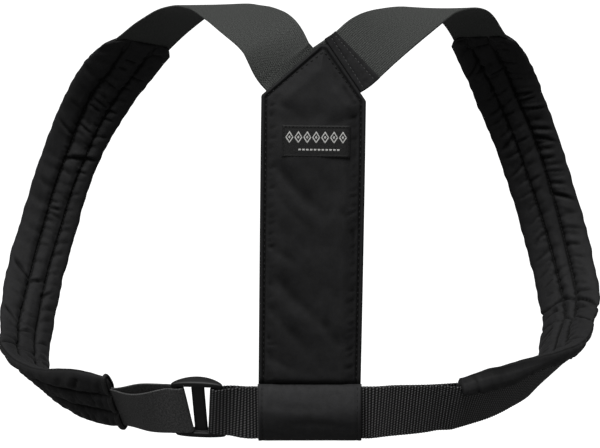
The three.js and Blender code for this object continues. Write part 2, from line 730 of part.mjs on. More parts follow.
// Slide buckle, made flat with its bars along Y and its outer face up, then set on the bars' frame.
const slideBuckle = (() => {
  const rail = (y) => {
    const shape = new THREE.Shape();
    const half = buckleLength / 2;
    const front = endBarThickness / 2;
    shape.moveTo(-half, front);
    shape.lineTo(-half, front - railThin);
    const belly = [-0.6, -0.2, 0.2, 0.6].map((a) => new THREE.Vector2(
      a * half, front - railThin - (railThick - railThin) * (1 - a * a),
    ));
    shape.splineThru([...belly, new THREE.Vector2(half, front - railThin)]);
    shape.lineTo(half, front);
    shape.closePath();
    const geometry = new THREE.ExtrudeGeometry(shape, { depth: railHeight, bevelEnabled: false, curveSegments: 3 });
    return geometry.rotateX(Math.PI / 2).translate(0, y + railHeight / 2, 0);
  };
  const bar = (x, z, width, thickness) => {
    const geometry = new THREE.CylinderGeometry(1, 1, barLength + railHeight, 14);
    return geometry.scale(width / 2, 1, thickness / 2).translate(x, 0, z);
  };
  const railAt = (barLength + railHeight) / 2;
  const middleAt = endBarThickness / 2 - railThick / 2;
  const flat = join(
    rail(railAt),
    rail(-railAt),
    bar(-barSpacing / 2, 0, endBarWidth, endBarThickness),
    bar(0, middleAt, middleBarWidth, middleBarThickness),
    bar(barSpacing / 2, 0, endBarWidth, endBarThickness),
  );
  const turn = new THREE.Matrix4().makeBasis(rightBar.along, rightBar.across.clone().negate(), rightBar.facing);
  const centre = rightBar.at.clone().addScaledVector(rightBar.along, barSpacing / 2);
  return flat.applyMatrix4(turn.setPosition(centre));
})();

// Materials

function material(color, roughness) {
  return new THREE.MeshStandardMaterial({ color, roughness, metalness: 0, side: THREE.FrontSide });
}

const cloth = material(0x141416, 0.92);
const elastic = material(0x2b2c2b, 0.88);
const webbing = material(0x1a1a1b, 0.8);
const woven = material(0x1d1d1e, 0.75);
const plastic = material(0x121212, 0.5);

const pieces = [
  ["back_panel", backPanel, cloth],
  ["label_patch", labelPatch, woven],
  ["belt_tunnel", beltTunnel, cloth],
  ["elastic_strap_left", elasticStrap(leftRoute, leftPad), elastic],
  ["elastic_strap_right", elasticStrap(rightRoute, rightPad), elastic],
  ["strap_tab_right", strapTabRight, cloth],
  ["shoulder_pad_left", shoulderPadLeft, cloth],
  ["shoulder_pad_right", shoulderPadRight, cloth],
  ["pad_binding_left", padBindingLeft, woven],
  ["strap_loop_left", strapLoopLeft, woven],
  ["slide_buckle", slideBuckle, plastic],
  ["belt_webbing", beltWebbing, webbing],
];

const harness = new THREE.Group();
pieces.forEach(([name, geometry, look]) => {
  const mesh = new THREE.Mesh(geometry, look);
  mesh.name = name;
  harness.add(mesh);
});

export default harness;
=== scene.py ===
# Posture corrector: the looks of a harness that is worn over both shoulders.
#
# Shapes are worked out in millimetres, in the part's own frame: +Z up, -Y the wearer's back, +X the
# wearer's right hand side, and the origin on the shoulders. They become metres when a mesh is made.

import json
import math

import bpy
import numpy as np
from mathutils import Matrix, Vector

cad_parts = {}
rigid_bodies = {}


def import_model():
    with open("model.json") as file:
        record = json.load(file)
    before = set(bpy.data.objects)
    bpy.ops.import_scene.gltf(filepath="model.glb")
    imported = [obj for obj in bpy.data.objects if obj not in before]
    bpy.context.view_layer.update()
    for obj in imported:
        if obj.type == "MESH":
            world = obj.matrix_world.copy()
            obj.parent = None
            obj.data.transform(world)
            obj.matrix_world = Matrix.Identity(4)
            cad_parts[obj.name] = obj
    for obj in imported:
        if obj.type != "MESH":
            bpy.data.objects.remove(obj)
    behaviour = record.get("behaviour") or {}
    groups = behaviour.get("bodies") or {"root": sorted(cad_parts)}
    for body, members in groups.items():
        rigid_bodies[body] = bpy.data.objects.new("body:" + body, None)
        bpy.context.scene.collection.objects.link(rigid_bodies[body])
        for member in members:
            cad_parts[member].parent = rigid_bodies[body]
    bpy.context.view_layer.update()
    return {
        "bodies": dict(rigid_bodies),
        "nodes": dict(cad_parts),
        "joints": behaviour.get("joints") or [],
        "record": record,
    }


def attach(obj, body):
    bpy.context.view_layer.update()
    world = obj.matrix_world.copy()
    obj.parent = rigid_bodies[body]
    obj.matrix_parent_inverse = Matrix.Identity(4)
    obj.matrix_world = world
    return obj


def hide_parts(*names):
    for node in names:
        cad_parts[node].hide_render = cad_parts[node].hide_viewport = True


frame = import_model()

MM = 0.001

# Form of the worn harness
LEFT_REACH = 225
RIGHT_REACH = 211
CHEST_DEPTH = 100
BACK_DEPTH = 109
TIP_DROP = 22
PANEL_LEAN = 3

# Back panel and its sleeve
PANEL_WIDTH = 71
PANEL_HEIGHT = 232
PANEL_THICKNESS = 8.5
PANEL_EDGE = 3.5
LEFT_CORNER_DROP = 35
RIGHT_CORNER_DROP = 38
TIP_OFFSET = 6.5
TIP_WIDTH = 5
SLEEVE_WALL = 1.2
SLEEVE_CROWN = 8.6
SLEEVE_PEAK = 0.42
SLEEVE_TILT = 0.09
SLEEVE_OVERHANG = 0.5
TOPSTITCH_INSET = 3.4
PANEL_FOOT = 2.2
EDGE_ROUND = 1.75
PANEL_COLUMNS = 91
PANEL_RING_STEP = 1.2
PANEL_CREASE_SCALE = 2.2
SLEEVE_COLUMNS = 60
SLEEVE_RING_STEP = 1.0
SLEEVE_EDGE_ROUND = 3.0
SLEEVE_END_DIP = 1.2
MOUTH = 8

# Label
LABEL_WIDTH = 46
LABEL_HEIGHT = 21.5
LABEL_THICKNESS = 0.8
LABEL_DROP = 65.5
LABEL_OFFSET = 2
MOTIF_COUNT = 7
MOTIF_PITCH = 6.0
MOTIF_HALF_HEIGHT = 4.1
MOTIF_HALF_WIDTH = 2.75
MOTIF_OPENING = 1 - 0.95 / MOTIF_HALF_WIDTH
MOTIF_UP = 2.6
DASH_COUNT = 11
DASH_PITCH = 2.6
DASH_DROP = 5.6
DASH_SHIFT = 2.0
LOZENGE = ((0, -1), (1, 0), (0, 1), (-1, 0))
BLOCK = ((-1, -1), (1, -1), (1, 1), (-1, 1))
LABEL_COLUMNS = 61
LABEL_RINGS = 31
LABEL_STITCH_INSET = 1.1
LABEL_SINK = 0.3

# Elastic straps
ELASTIC_WIDTH = 43.5
ELASTIC_THICKNESS = 1.8
ELASTIC_TUCK = 9
RIGHT_ELASTIC_SHIFT = 5.5
TAB_LENGTH = 12.5
TAB_WIDTH = 44
TAB_THICKNESS = 1.6
TAB_SEAMS = (4.0, 9.3)
TAB_RING_STEP = 0.5
TAB_COLUMNS = 41
ELASTIC_COLUMNS = 41
ELASTIC_RING_STEP = 1.5

# Shoulder pads
PAD_TOP_WIDTH = 53
LEFT_PAD_WIDTH = 46.5
RIGHT_PAD_WIDTH = 51
PAD_THICKNESS = 10.5
PAD_END_WIDTH = 39
PAD_END_THICKNESS = 6
PAD_SHOULDER = 130
PAD_TAPER = 22
PAD_OFFSET = 4.5
PAD_LEAD_IN = 26
LEFT_PAD_SKEW = -0.27
RIGHT_PAD_SKEW = 0.12
SLANT_RUN = 60
POCKET_DEPTH = 12
BINDING_WIDTH = 5
BINDING_THICKNESS = 1.2
BINDING_SHOWN = 3.6
BINDING_RINGS = 12
PAD_COLUMNS = 121
PAD_RING_STEP = 1.25
PAD_LIP = 1.8
TOP_REACH = 7.5
CORNER_FROM = 0.62
CORNER_CUT = 12.0
SEAM_DEPTH = 1.5
SEAM_DIP = 0.45
SEAM_DIP_WIDTH = 3.2
STAND_RUN = 75
PAD_LOBE = 0.42
NOTCH_SHARE = 0.6
TOP_LOOSENESS = 0.9
ROLL_LAP = 6.0
SEAM_WIDTH = 0.65
LEFT_END_STAND = 8.0
LAP_START = 18
LAP_END = 58
ROLL_HEIGHT = 9.5

# Belt
WEBBING_WIDTH = 38
WEBBING_THICKNESS = 1.5
WEBBING_ON_PAD = 96
RIB_PITCH = 2.15
RIB_INSETS = (
    # axis (0 across, 1 out), depth between two ribs, from, to
    (0, 0.25, 17, 19),
    (1, 0.4, 0.2, 0.6),
)
DOT_PITCH = 1.9
LOOP_WIDTH = 35
LOOP_SPREAD = 2.6
LOOP_THICKNESS = 1.2
LOOP_OPENING = 9
CLOSING_RUN = 22
STEPPING_RUN = 14
WEBBING_COLUMNS = 25
RINGS_PER_RIB = 4
LOOP_COLUMNS = 29
TURN_STEPS = 24
TURN_SLACK = 2.2
TURN_PULL = 5.0
WEBBING_PULL_SHARE = 0.8
PULL_RUN = 22

# Slide buckle
BUCKLE_LENGTH = 36
RAIL_HEIGHT = 4.6
RAIL_THIN = 2.4
RAIL_THICK = 8.6
END_BAR_WIDTH = 5
END_BAR_THICKNESS = 3
MIDDLE_BAR_WIDTH = 9.4
MIDDLE_BAR_THICKNESS = 3.4
BAR_PLAY = 0.8
BAR_APPROACH = 8
RAIL_RINGS = 73
RAIL_POINTS = 32
RAIL_END_SHARE = 0.4
BAR_POINTS = 40
REMESH_SIZE = 0.36

GAP = 0.3
LAYER_GAP = 0.5
SEAM_GAP = 0.45

# Camera, light and floor
CAMERA_AT = (-6.7, -1118, 30)
CAMERA_DIP = 9.74
CAMERA_LENS = 90
SKY_FROM = (-0.14, -0.4, 0.9)
WORLD_STRENGTH = 0.2
SKY_POWER = 4.0
SKY_ANGLE = 32
FILL_AT = (-500, -1900, 500)
FILL_AIM = (0, 0, -130)
FILL_SIZE = (1200, 900)
FILL_POWER = 3.2
FLOOR_AT = (0, 20000, -750)
FLOOR_SIZE = 110000

# Colours
CLOTH_TINT = (1.0, 1.0, 1.04)
# Painted shade: the near-black that the cloth turns to at the bottom of folds and seams
PAINTED_CREASE_SHADE = 0.0004
# The sleeve's cloth is lighter: partly its own lighter tone, partly painted sheen for the shine of its lit
# upper side
SLEEVE_TONE_AND_SHEEN = 1.5

# Unevenness of the cloth: height and length of the bumps
PANEL_SWELLS = ((0.5, 42), (0.2, 15))
SLEEVE_SWELLS = ((0.3, 26), (0.12, 10))
PAD_SWELLS = ((0.55, 40), (0.35, 16))
PAD_EDGE_SWELLS = ((0.5, 17), (0.25, 7))

# Ridges and grooves along the hems: height, distance from the edge, and width
PANEL_HEM = ((0.6, 1.4, 0.9), (-0.9, TOPSTITCH_INSET, 0.8))
SLEEVE_HEM = ((0.45, 1.4, 0.9), (-0.75, TOPSTITCH_INSET, 0.75))
LABEL_HEM = ((0.12, 1.0, 0.8), (-0.1, 2.1, 0.5))

# Meshes and curves
ROUTE_SAMPLES = 6001
NEAR_NOTHING = 1e-4
EDGE_POINTS = 4
PANEL_SHADE_REACH = (3, 4)
PAD_SHADE_REACH = (2, 6)
SHADE_FULL_DEPTH = 0.6
STITCHES = {
    # name: pitch, length and radius of the dashes
    "panel_topstitch": (4.0, 2.5, 0.5),
    "label_stitches": (2.4, 1.7, 0.17),
    "sleeve_stitches": (4.0, 2.7, 0.42),
    "tab_stitches": (2.9, 2.0, 0.24),
    "quilted_pad_left_stitches": (3.0, 2.3, 0.36),
    "quilted_pad_right_stitches": (3.0, 2.3, 0.36),
}
DASH_SIDES = 6
DASH_RINGS = (
    # place along the dash, thickness
    (-1.0, 0.0),
    (-0.85, 0.6),
    (-0.4, 1.0),
    (0.4, 1.0),
    (0.85, 0.6),
    (1.0, 0.0),
)

# Sizes that follow
HALF_PANEL = PANEL_WIDTH / 2
SLEEVE_HEIGHT = WEBBING_WIDTH + 2 * (GAP + SLEEVE_WALL)
SLEEVE_INSIDE = 2 * WEBBING_THICKNESS + LAYER_GAP + 2 * GAP
SLEEVE_RISE = SLEEVE_HEIGHT / 2 + (SLEEVE_INSIDE / 2 + SLEEVE_WALL) * SLEEVE_TILT
BELT_DROP = TIP_DROP + PANEL_HEIGHT + SEAM_GAP + SLEEVE_RISE
BELT_DEPTH = BACK_DEPTH + PANEL_THICKNESS / 2
BAR_LENGTH = max(WEBBING_WIDTH, LOOP_WIDTH) + BAR_PLAY
BAR_SPACING = BUCKLE_LENGTH - END_BAR_WIDTH
PANEL_BOTTOM = -(TIP_DROP + PANEL_HEIGHT)
PANEL_CORNERS = (
    # side, drop below the tip
    (-1, LEFT_CORNER_DROP),
    (1, RIGHT_CORNER_DROP),
)
SLEEVE_FACING = (0, -1, -SLEEVE_TILT)
SLEEVE_HALF = HALF_PANEL + SLEEVE_OVERHANG
BELT_RUN = (
    SLEEVE_HALF + MOUTH,
    SLEEVE_HALF - MOUTH / 2,
    0,
    MOUTH / 2 - SLEEVE_HALF,
    -SLEEVE_HALF - MOUTH,
)
START_RUN = (-ELASTIC_TUCK, 1.5, 8)
RIGHT_LAYER = GAP + ELASTIC_THICKNESS / 2
LEFT_LAYER = RIGHT_LAYER + ELASTIC_THICKNESS + GAP

# Tables. In a strap's route, each row is a station: its place in shares of the reach, the depth and the
# drop, and where the strap's outer face looks. A pad's top and end are stations, counted from the first
# row of its table, which is 0.
PANEL_ROWS = (
    # share of the panel's height, depth as a share of the back's
    (0.0, 1.0),
    (0.05, 1.0),
    (0.17, 1.008),
    (0.35, 1.01),
    (0.57, 0.995),
    (0.72, 0.966),
    (0.84, 0.93),
    (0.92, 0.902),
    (1.0, 0.874),
)
RIGHT_ROWS = (
    (0.2, -0.8, -0.076, (0.12, -0.88, 0.4)),
    (0.3, -0.53, -0.033, (0.1, -0.6, 0.8)),
    (0.434, -0.07, -0.004, (0.0, -0.08, 1.0)),
    (0.55, 0.3, -0.02, (0.2, 0.5, 0.85)),
    (0.642, 0.62, -0.1, (0.35, 0.8, 0.48)),
    (0.725, 0.82, -0.2, (0.2, 0.94, 0.25)),
    (0.78, 0.92, -0.29, (0.1, 0.98, 0.12)),
    (0.833, 0.98, -0.38, (0.05, 0.99, 0.05)),
    (0.897, 1.0, -0.515, (0.05, 0.99, 0.0)),
    (0.95, 0.95, -0.648, (0.12, 0.98, -0.05)),
    (0.986, 0.8, -0.774, (0.3, 0.92, -0.15)),
    (0.992, 0.56, -0.868, (0.52, 0.7, -0.42)),
    (0.95, 0.28, -0.925, (0.66, 0.3, -0.66)),
    (0.9, -0.08, -0.955, (0.6, -0.15, -0.76)),
    (0.81, -0.4, -0.972, (0.46, -0.58, -0.66)),
    (0.71, -0.58, -0.985, (0.36, -0.74, -0.57)),
    (0.61, -0.72, -0.997, (0.28, -0.83, -0.5)),
    (0.52, -0.83, -1.0, (0.2, -0.88, -0.42)),
)
RIGHT_PAD_TOP = 4
RIGHT_PAD_END = 17.3
RIGHT_BELT_ROWS = (
    (0.4, -0.925, -1.003, (0.1, -0.95, -0.25)),
    (0.27, -0.995, -1.001, (0.03, -0.99, -0.12)),
)
BUCKLE_ROWS = (
    (-0.235, -1.02, -0.998, (-0.04, -0.97, -0.22)),
    (-0.275, -1.01, -0.998, (-0.08, -0.93, -0.34)),
)
LEFT_ROWS = (
    (-0.12, -0.8, -0.065, (0.0, -0.9, 0.45)),
    (-0.206, -0.53, -0.02, (0.0, -0.6, 0.8)),
    (-0.318, -0.07, 0.005, (0.0, -0.08, 1.0)),
    (-0.433, 0.32, -0.022, (-0.2, 0.5, 0.85)),
    (-0.575, 0.62, -0.11, (-0.35, 0.8, 0.48)),
    (-0.7, 0.82, -0.215, (-0.2, 0.94, 0.25)),
    (-0.769, 0.92, -0.297, (-0.08, 0.98, 0.12)),
    (-0.826, 0.98, -0.38, (0.0, 0.99, 0.05)),
    (-0.896, 1.0, -0.516, (0.06, 0.99, 0.0)),
    (-0.945, 0.95, -0.648, (0.0, 1.0, -0.05)),
    (-0.985, 0.8, -0.774, (-0.22, 0.94, -0.15)),
    (-0.997, 0.52, -0.886, (-0.52, 0.74, -0.35)),
    (-0.99, 0.28, -0.953, (-0.7, 0.35, -0.6)),
    (-0.942, -0.11, -0.99, (-0.66, -0.15, -0.72)),
    (-0.838, -0.455, -1.002, (-0.45, -0.6, -0.65)),
    (-0.732, -0.66, -1.008, (-0.32, -0.78, -0.54)),
    (-0.645, -0.79, -1.007, (-0.24, -0.84, -0.48)),
    (-0.595, -0.85, -1.008, (-0.2, -0.86, -0.46)),
    (-0.5, -0.94, -1.0, (-0.16, -0.88, -0.44)),
)
LEFT_PAD_TOP = 4.08
LEFT_PAD_END = 16.85
PANEL_CREASES = (
    # from (height, across), to (height, across), depth, width
    ((186, -34), (181, 34), 0.6, 8.0),
    ((150, -26), (112, 16), 0.75, 5.0),
    ((138, -30), (104, 4), 0.4, 4.0),
    ((122, 20), (98, 31), 0.4, 3.5),
    ((72, -22), (40, 12), 0.7, 5.5),
    ((56, -30), (22, 2), 0.5, 4.5),
    ((44, 8), (18, 30), 0.45, 4.5),
    ((96, -30), (84, -8), 0.35, 3.5),
    ((185, 30), (176, 4), 0.35, 4.0),
    ((196, -31), (187, -12), 0.35, 3.0),
    ((205, 20), (190, 31), 0.3, 3.0),
    ((20, -30), (8, -6), 0.4, 4.0),
)
SLEEVE_CREASES = (
    # from (along, across), to (along, across), depth, width
    ((-30, -6), (22, -3), 0.5, 3.0),
    ((30, 9), (-14, 6), 0.45, 3.0),
)
# The pads' lengths are counted from the pad's top, and places across it from the middle of its strap.
LEFT_SEAMS = (
    # length, first seam, second seam
    (0, -12, 9),
    (34, -6, 11.2),
    (60, -7, 11),
    (110, -3, 12),
    (220, -3.5, 9.5),
    (277, -8.5, 7.5),
    (340, -11, 5),
    (443, -12.5, 4),
)
RIGHT_SEAMS = (
    (0, -8.5, 8),
    (17, -10.3, 6.3),
    (64, -8.5, 6),
    (120, -8.5, 7),
    (200, -6, 6),
    (240, -4, 7.5),
    (265, -0.5, 8),
    (318, -4.5, 8),
    (446, -5, 8),
)
LEFT_CREASES = {
    # face: from (length, across), to (length, across), depth, width
    "inner": (
        ((119, -3), (110, 24), 2.0, 1.6),
        ((163, -2), (163, 8), 1.6, 1.3),
        ((229, -4), (227, 8), 2.4, 1.4),
        ((240, 7), (234, 17.5), 1.8, 1.4),
        ((228, -4.5), (208, -23), 2.4, 1.5),
        ((277, -8), (254, -24), 2.8, 1.6),
        ((279, -8.5), (278, 2), 2.0, 1.3),
        ((300, -20), (306, 20), 1.2, 2.6),
    ),
    "outer": (
        ((421, -27), (413, -13.5), 1.9, 2.4),
        ((436, -26), (432, 6), 0.8, 1.2),
        ((404, -24), (396, -12), 0.8, 2.2),
    ),
}
RIGHT_CREASES = {
    "inner": (
        ((9, -6), (8, 7), 1.6, 1.0),
        ((32, -5), (31, 10), 1.6, 1.0),
        ((99, 8), (110, 24), 2.2, 1.5),
        ((148, 6), (161, 25.5), 2.4, 1.6),
        ((250, -20), (258, 2), 0.9, 2.2),
    ),
    "outer": (),
}
LEFT_FOLDS = (
    # across, lengths, depth, width
    ((-25, -8, 8, 25), (316, 309, 305, 309), 2.2, 2.2),
)
RIGHT_FOLDS = (
    ((-26, -12, -4, 10, 28), (250, 247, 241, 246, 256), 3.0, 1.7),
    ((-26, -8, 1, 14, 28), (270, 267, 265, 271, 287), 2.8, 1.8),
    ((-24, 0, 24), (318, 312, 322), 1.6, 2.6),
)
LEFT_FLARES = (
    # side, length, out, width
    (-1, 314, 4.5, 13),
)
RIGHT_FLARES = (
    (-1, 262, -1.5, 14),
    (1, 300, 1.5, 12),
)
LEFT_LANES = (
    # from across, to across, pitch, lean, depth, width
    (-4, -24, 17.0, -8.0, 0.7, 2.2),
    (-4, 10, 10.0, 3.0, 0.8, 1.5),
    (10, 23, 9.0, -4.0, 1.1, 1.5),
    (10, 4, 6.0, -2.0, 0.4, 0.9),
    (-4, -10, 6.0, -2.0, 0.35, 0.9),
)
RIGHT_LANES = (
    (-8, -25, 9.0, 8.0, 1.1, 1.5),
    (-8, 6, 11.0, -4.0, 0.8, 1.5),
    (6, 26, 7.5, 7.0, 1.1, 1.5),
    (-8, -14, 5.0, 2.0, 0.4, 0.9),
    (6, 12, 5.0, 2.0, 0.4, 0.9),
)


# Small sums

def unit(vectors):
    return vectors / np.linalg.norm(vectors, axis=-1, keepdims=True)


def smooth(x, low, high):
    """0 below low, 1 above high, and a smooth step between them."""
    t = np.clip((np.asarray(x, float) - low) / (high - low), 0, 1)
    return t * t * (3 - 2 * t)


def blend(a, b, share):
    return a + (b - a) * share


def bump(x, middle, width):
    return np.exp(-(((x - middle) / width) ** 2))


def run_of(places):
    """How far along a line each of its places lies."""
    return np.concatenate([[0], np.cumsum(np.linalg.norm(np.diff(places, axis=0), axis=1))])


def picked(goals, run, values):
    """Values that are given along a run, at the goals."""
    return np.stack([np.interp(goals, run, values[:, k]) for k in range(3)], axis=1)


def from_ends(run):
    return np.minimum(run - run[0], run[-1] - run)


def evenly(start, end, step):
    count = max(2, math.ceil(abs(end - start) / step))
    return np.linspace(start, end, count + 1)


# Camera and light
#
# The camera stands behind the wearer, a little above the shoulders, and looks down at the belt.

def make_camera():
    data = bpy.data.cameras.new("camera")
    data.lens = CAMERA_LENS
    camera = bpy.data.objects.new("camera", data)
    camera.location = Vector(CAMERA_AT) * MM
    camera.rotation_euler = (math.radians(90 - CAMERA_DIP), 0, 0)
    bpy.context.scene.collection.objects.link(camera)
    bpy.context.scene.camera = camera


def add_light(name, kind, power, place, turn):
    data = bpy.data.lights.new(name, kind)
    data.energy = power
    light = bpy.data.objects.new(name, data)
    light.location = place
    light.rotation_euler = turn.to_euler()
    bpy.context.scene.collection.objects.link(light)
    return data


def make_light():
    """A soft sun above, a weaker light behind the camera, and a sky that is white to the camera."""
    scene = bpy.context.scene
    scene.view_settings.view_transform = "Standard"
    scene.view_settings.look = "None"
    scene.world = bpy.data.worlds.new("studio")
    scene.world.use_nodes = True
    tree = scene.world.node_tree
    background = tree.nodes["Background"]
    background.inputs["Color"].default_value = (1, 1, 1, 1)
    seen = node(tree, "ShaderNodeLightPath").outputs["Is Camera Ray"]
    strength = sums(tree, "MULTIPLY_ADD", seen, 1 - WORLD_STRENGTH, WORLD_STRENGTH)
    tree.links.new(strength, background.inputs["Strength"])
    sky_turn = Vector(SKY_FROM).to_track_quat("Z", "Y")
    add_light("soft_overhead", "SUN", SKY_POWER, (0, 0, 0), sky_turn).angle = math.radians(SKY_ANGLE)
    fill_at = Vector(FILL_AT) * MM
    fill_turn = (Vector(FILL_AIM) * MM - fill_at).to_track_quat("-Z", "Y")
    fill = add_light("behind_camera", "AREA", FILL_POWER, fill_at, fill_turn)
    fill.shape = "RECTANGLE"
    fill.size, fill.size_y = (size * MM for size in FILL_SIZE)


def make_floor():
    bpy.ops.mesh.primitive_plane_add(size=FLOOR_SIZE * MM, location=Vector(FLOOR_AT) * MM)
    floor = bpy.context.object
    floor.name = "floor"
    floor.visible_diffuse = False
    floor.visible_glossy = False
    paper, _, shader = new_material("floor_paper", 0.9)
    shader.inputs["Base Color"].default_value = rgba(0.93)
    floor.data.materials.append(paper)


# Materials
#
# Every mesh carries the attribute "lay": how far a point lies along its strap and across it, in
# millimetres, and how deep it lies in a fold, from 0 to 1, which darkens the cloth as painted shade.
# Weaves and knits follow it.

def node(tree, kind, inputs=None, **settings):
    made = tree.nodes.new(kind)
    for name, value in settings.items():
        setattr(made, name, value)
    for name, value in (inputs or {}).items():
        if isinstance(value, bpy.types.NodeSocket):
            tree.links.new(value, made.inputs[name])
        else:
            made.inputs[name].default_value = value
    return made


def sums(tree, operation, *values):
    return node(tree, "ShaderNodeMath", dict(enumerate(values)), operation=operation).outputs[0]


def rgba(color):
    """A colour from one grey value, or from three."""
    return (*np.broadcast_to(color, 3).tolist(), 1.0)


def new_material(name, roughness, specular=0.5, sheen=0.0, sheen_roughness=0.5):
    made = bpy.data.materials.new(name)
    made.use_nodes = True
    shader = made.node_tree.nodes["Principled BSDF"]
    shader.inputs["Roughness"].default_value = roughness
    shader.inputs["Specular IOR Level"].default_value = specular
    shader.inputs["Sheen Weight"].default_value = sheen
    shader.inputs["Sheen Roughness"].default_value = sheen_roughness
    return made, made.node_tree, shader


def lay_of(tree):
    """The places along and across the strap, the depth in a fold for the painted shade, and all three as a
    vector.
    """
    lay = node(tree, "ShaderNodeAttribute", attribute_name="lay").outputs["Vector"]
    return *node(tree, "ShaderNodeSeparateXYZ", {0: lay}).outputs, lay


def noise(tree, vector, scale, detail=3.0, roughness=0.55):
    values = {"Vector": vector, "Scale": scale, "Detail": detail, "Roughness": roughness}
    return node(tree, "ShaderNodeTexNoise", values).outputs["Fac"]


def wave(tree, place, pitch, phase=0.0):
    """A sine of a place in millimetres, from -1 to 1."""
    turned = sums(tree, "MULTIPLY_ADD", place, 2 * math.pi / pitch, phase)
    return sums(tree, "SINE", turned)


def weave(tree, along, across, pitch_along, pitch_across):
    """Threads that pass over and under one another, from -1 to 1."""
    return sums(tree, "MULTIPLY", wave(tree, along, pitch_along), wave(tree, across, pitch_across))


def stretched(tree, value, factor, offset):
    """The value times the factor, plus the offset."""
    return sums(tree, "MULTIPLY_ADD", value, factor, offset)


def coated(tree, shader, dark, light, share, height, distance):
    """A base colour between two by a share from 0 to 1, and a bump.

    The height is about 0 to 1, and its full size is the distance in millimetres."""
    colors = node(tree, "ShaderNodeValToRGB", {"Fac": share})
    for element, position, color in zip(colors.color_ramp.elements, (0.25, 0.75), (dark, light)):
        element.position = position
        element.color = rgba(color)
    bumped = node(tree, "ShaderNodeBump", {"Height": height, "Distance": distance * MM, "Strength": 1.0})
    tree.links.new(colors.outputs["Color"], shader.inputs["Base Color"])
    tree.links.new(bumped.outputs["Normal"], shader.inputs["Normal"])
    return colors.color_ramp


def cloth_material(name, lightness=1.0):
    made, tree, shader = new_material(name, 0.72, specular=0.16, sheen=0.02, sheen_roughness=0.4)
    along, across, hollow, lay = lay_of(tree)
    mottle = noise(tree, lay, 0.22, 4.0, 0.6)
    grain = noise(tree, lay, 1.3, 2.0, 0.7)
    share = sums(tree, "MULTIPLY", sums(tree, "ADD", mottle, grain), 0.5)
    # Painted shade: the colour darkens with how deep a place lies in a fold or a seam
    shaded_share = sums(tree, "MULTIPLY", share, stretched(tree, hollow, -1.0, 1.0))
    height = stretched(tree, weave(tree, along, across, 0.9, 0.9), 0.25, share)
    dark, light = (np.array(CLOTH_TINT) * value * lightness for value in (0.0058, 0.0165))
    ramp = coated(tree, shader, dark, light, shaded_share, height, 0.24)
    # The ramp's near-black end is the painted shade in the deepest folds and seams
    ramp.elements.new(0.0).color = rgba(PAINTED_CREASE_SHADE)
    return made


def elastic_material():
    made, tree, shader = new_material("knitted_elastic", 0.7, specular=0.2, sheen=0.03, sheen_roughness=0.4)
    along, across, _, lay = lay_of(tree)
    sparkle = stretched(tree, noise(tree, lay, 1.3, 2.0, 0.75), 1.3, -0.15)
    share = stretched(tree, weave(tree, along, across, 1.2, 2.1), 0.16, sparkle)
    height = stretched(tree, wave(tree, across, 1.3), 0.3, share)
    coated(tree, shader, (0.002, 0.0023, 0.002), (0.068, 0.072, 0.068), share, height, 0.28)
    return made


def webbing_material():
    made, tree, shader = new_material("ribbed_webbing", 0.55, specular=0.3, sheen=0.02)
    along, across, _, lay = lay_of(tree)
    # Painted shade: the colour darkens in the grooves between the ribs. The dots and the grain are the
    # weave's own pattern.
    rib_shading = stretched(tree, wave(tree, along, RIB_PITCH, math.pi / 2), 0.5, 0.5)
    dots = stretched(tree, wave(tree, stretched(tree, along, 0.5, across), DOT_PITCH), 0.5, 0.5)
    grain = sums(tree, "MULTIPLY", noise(tree, lay, 2.2, 2.0), 0.5)
    share = sums(tree, "MULTIPLY", rib_shading, stretched(tree, dots, 0.8, grain))
    coated(tree, shader, 0.0002, (0.105, 0.105, 0.107), stretched(tree, share, 2.0, -0.5), share, 0.7)
    return made


def tape_material(name, dark, light):
    made, tree, shader = new_material(name, 0.62, specular=0.22, sheen=0.02)
    along, across, _, lay = lay_of(tree)
    grain = stretched(tree, noise(tree, lay, 0.9, 3.0, 0.7), 1.6, -0.3)
    share = stretched(tree, weave(tree, along, across, 1.4, 1.1), 0.2, grain)
    coated(tree, shader, dark, light, share, share, 0.3)
    return made


def label_material():
    made, tree, shader = new_material("label_weave", 0.55, specular=0.2, sheen=0.02)
    along, across, _, lay = lay_of(tree)
    share = stretched(tree, weave(tree, along, across, 0.7, 0.5), 0.3, noise(tree, lay, 0.9))
    coated(tree, shader, 0.003, 0.013, share, share, 0.14)
    return made


def thread_material(name, dark, light):
    made, tree, shader = new_material(name, 0.55, specular=0.25)
    along, across, *_ = lay_of(tree)
    share = stretched(tree, wave(tree, sums(tree, "ADD", along, across), 0.6), 0.5, 0.5)
    coated(tree, shader, dark, light, share, share, 0.08)
    return made


def plastic_material():
    made, tree, shader = new_material("satin_plastic", 0.52, specular=0.3)
    place = node(tree, "ShaderNodeTexCoord").outputs["Object"]
    wear = noise(tree, place, 90.0, 4.0)
    coated(tree, shader, 0.0015, 0.007, wear, noise(tree, place, 1400.0), 0.03)
    return made


# Meshes

def outward(places, faces):
    """The faces, turned so that they enclose a positive volume."""
    corners = places[np.array([face[:3] for face in faces])]
    a, b, c = corners[:, 0], corners[:, 1], corners[:, 2]
    wide = np.array([len(face) == 4 for face in faces])
    d = places[np.array([face[3] if len(face) > 3 else face[0] for face in faces])]
    volume = np.einsum("ij,ij->i", a, np.cross(b, c)).sum()
    volume += np.einsum("ij,ij->i", a, np.cross(c, d))[wide].sum()
    return [face[::-1] for face in faces] if volume < 0 else faces


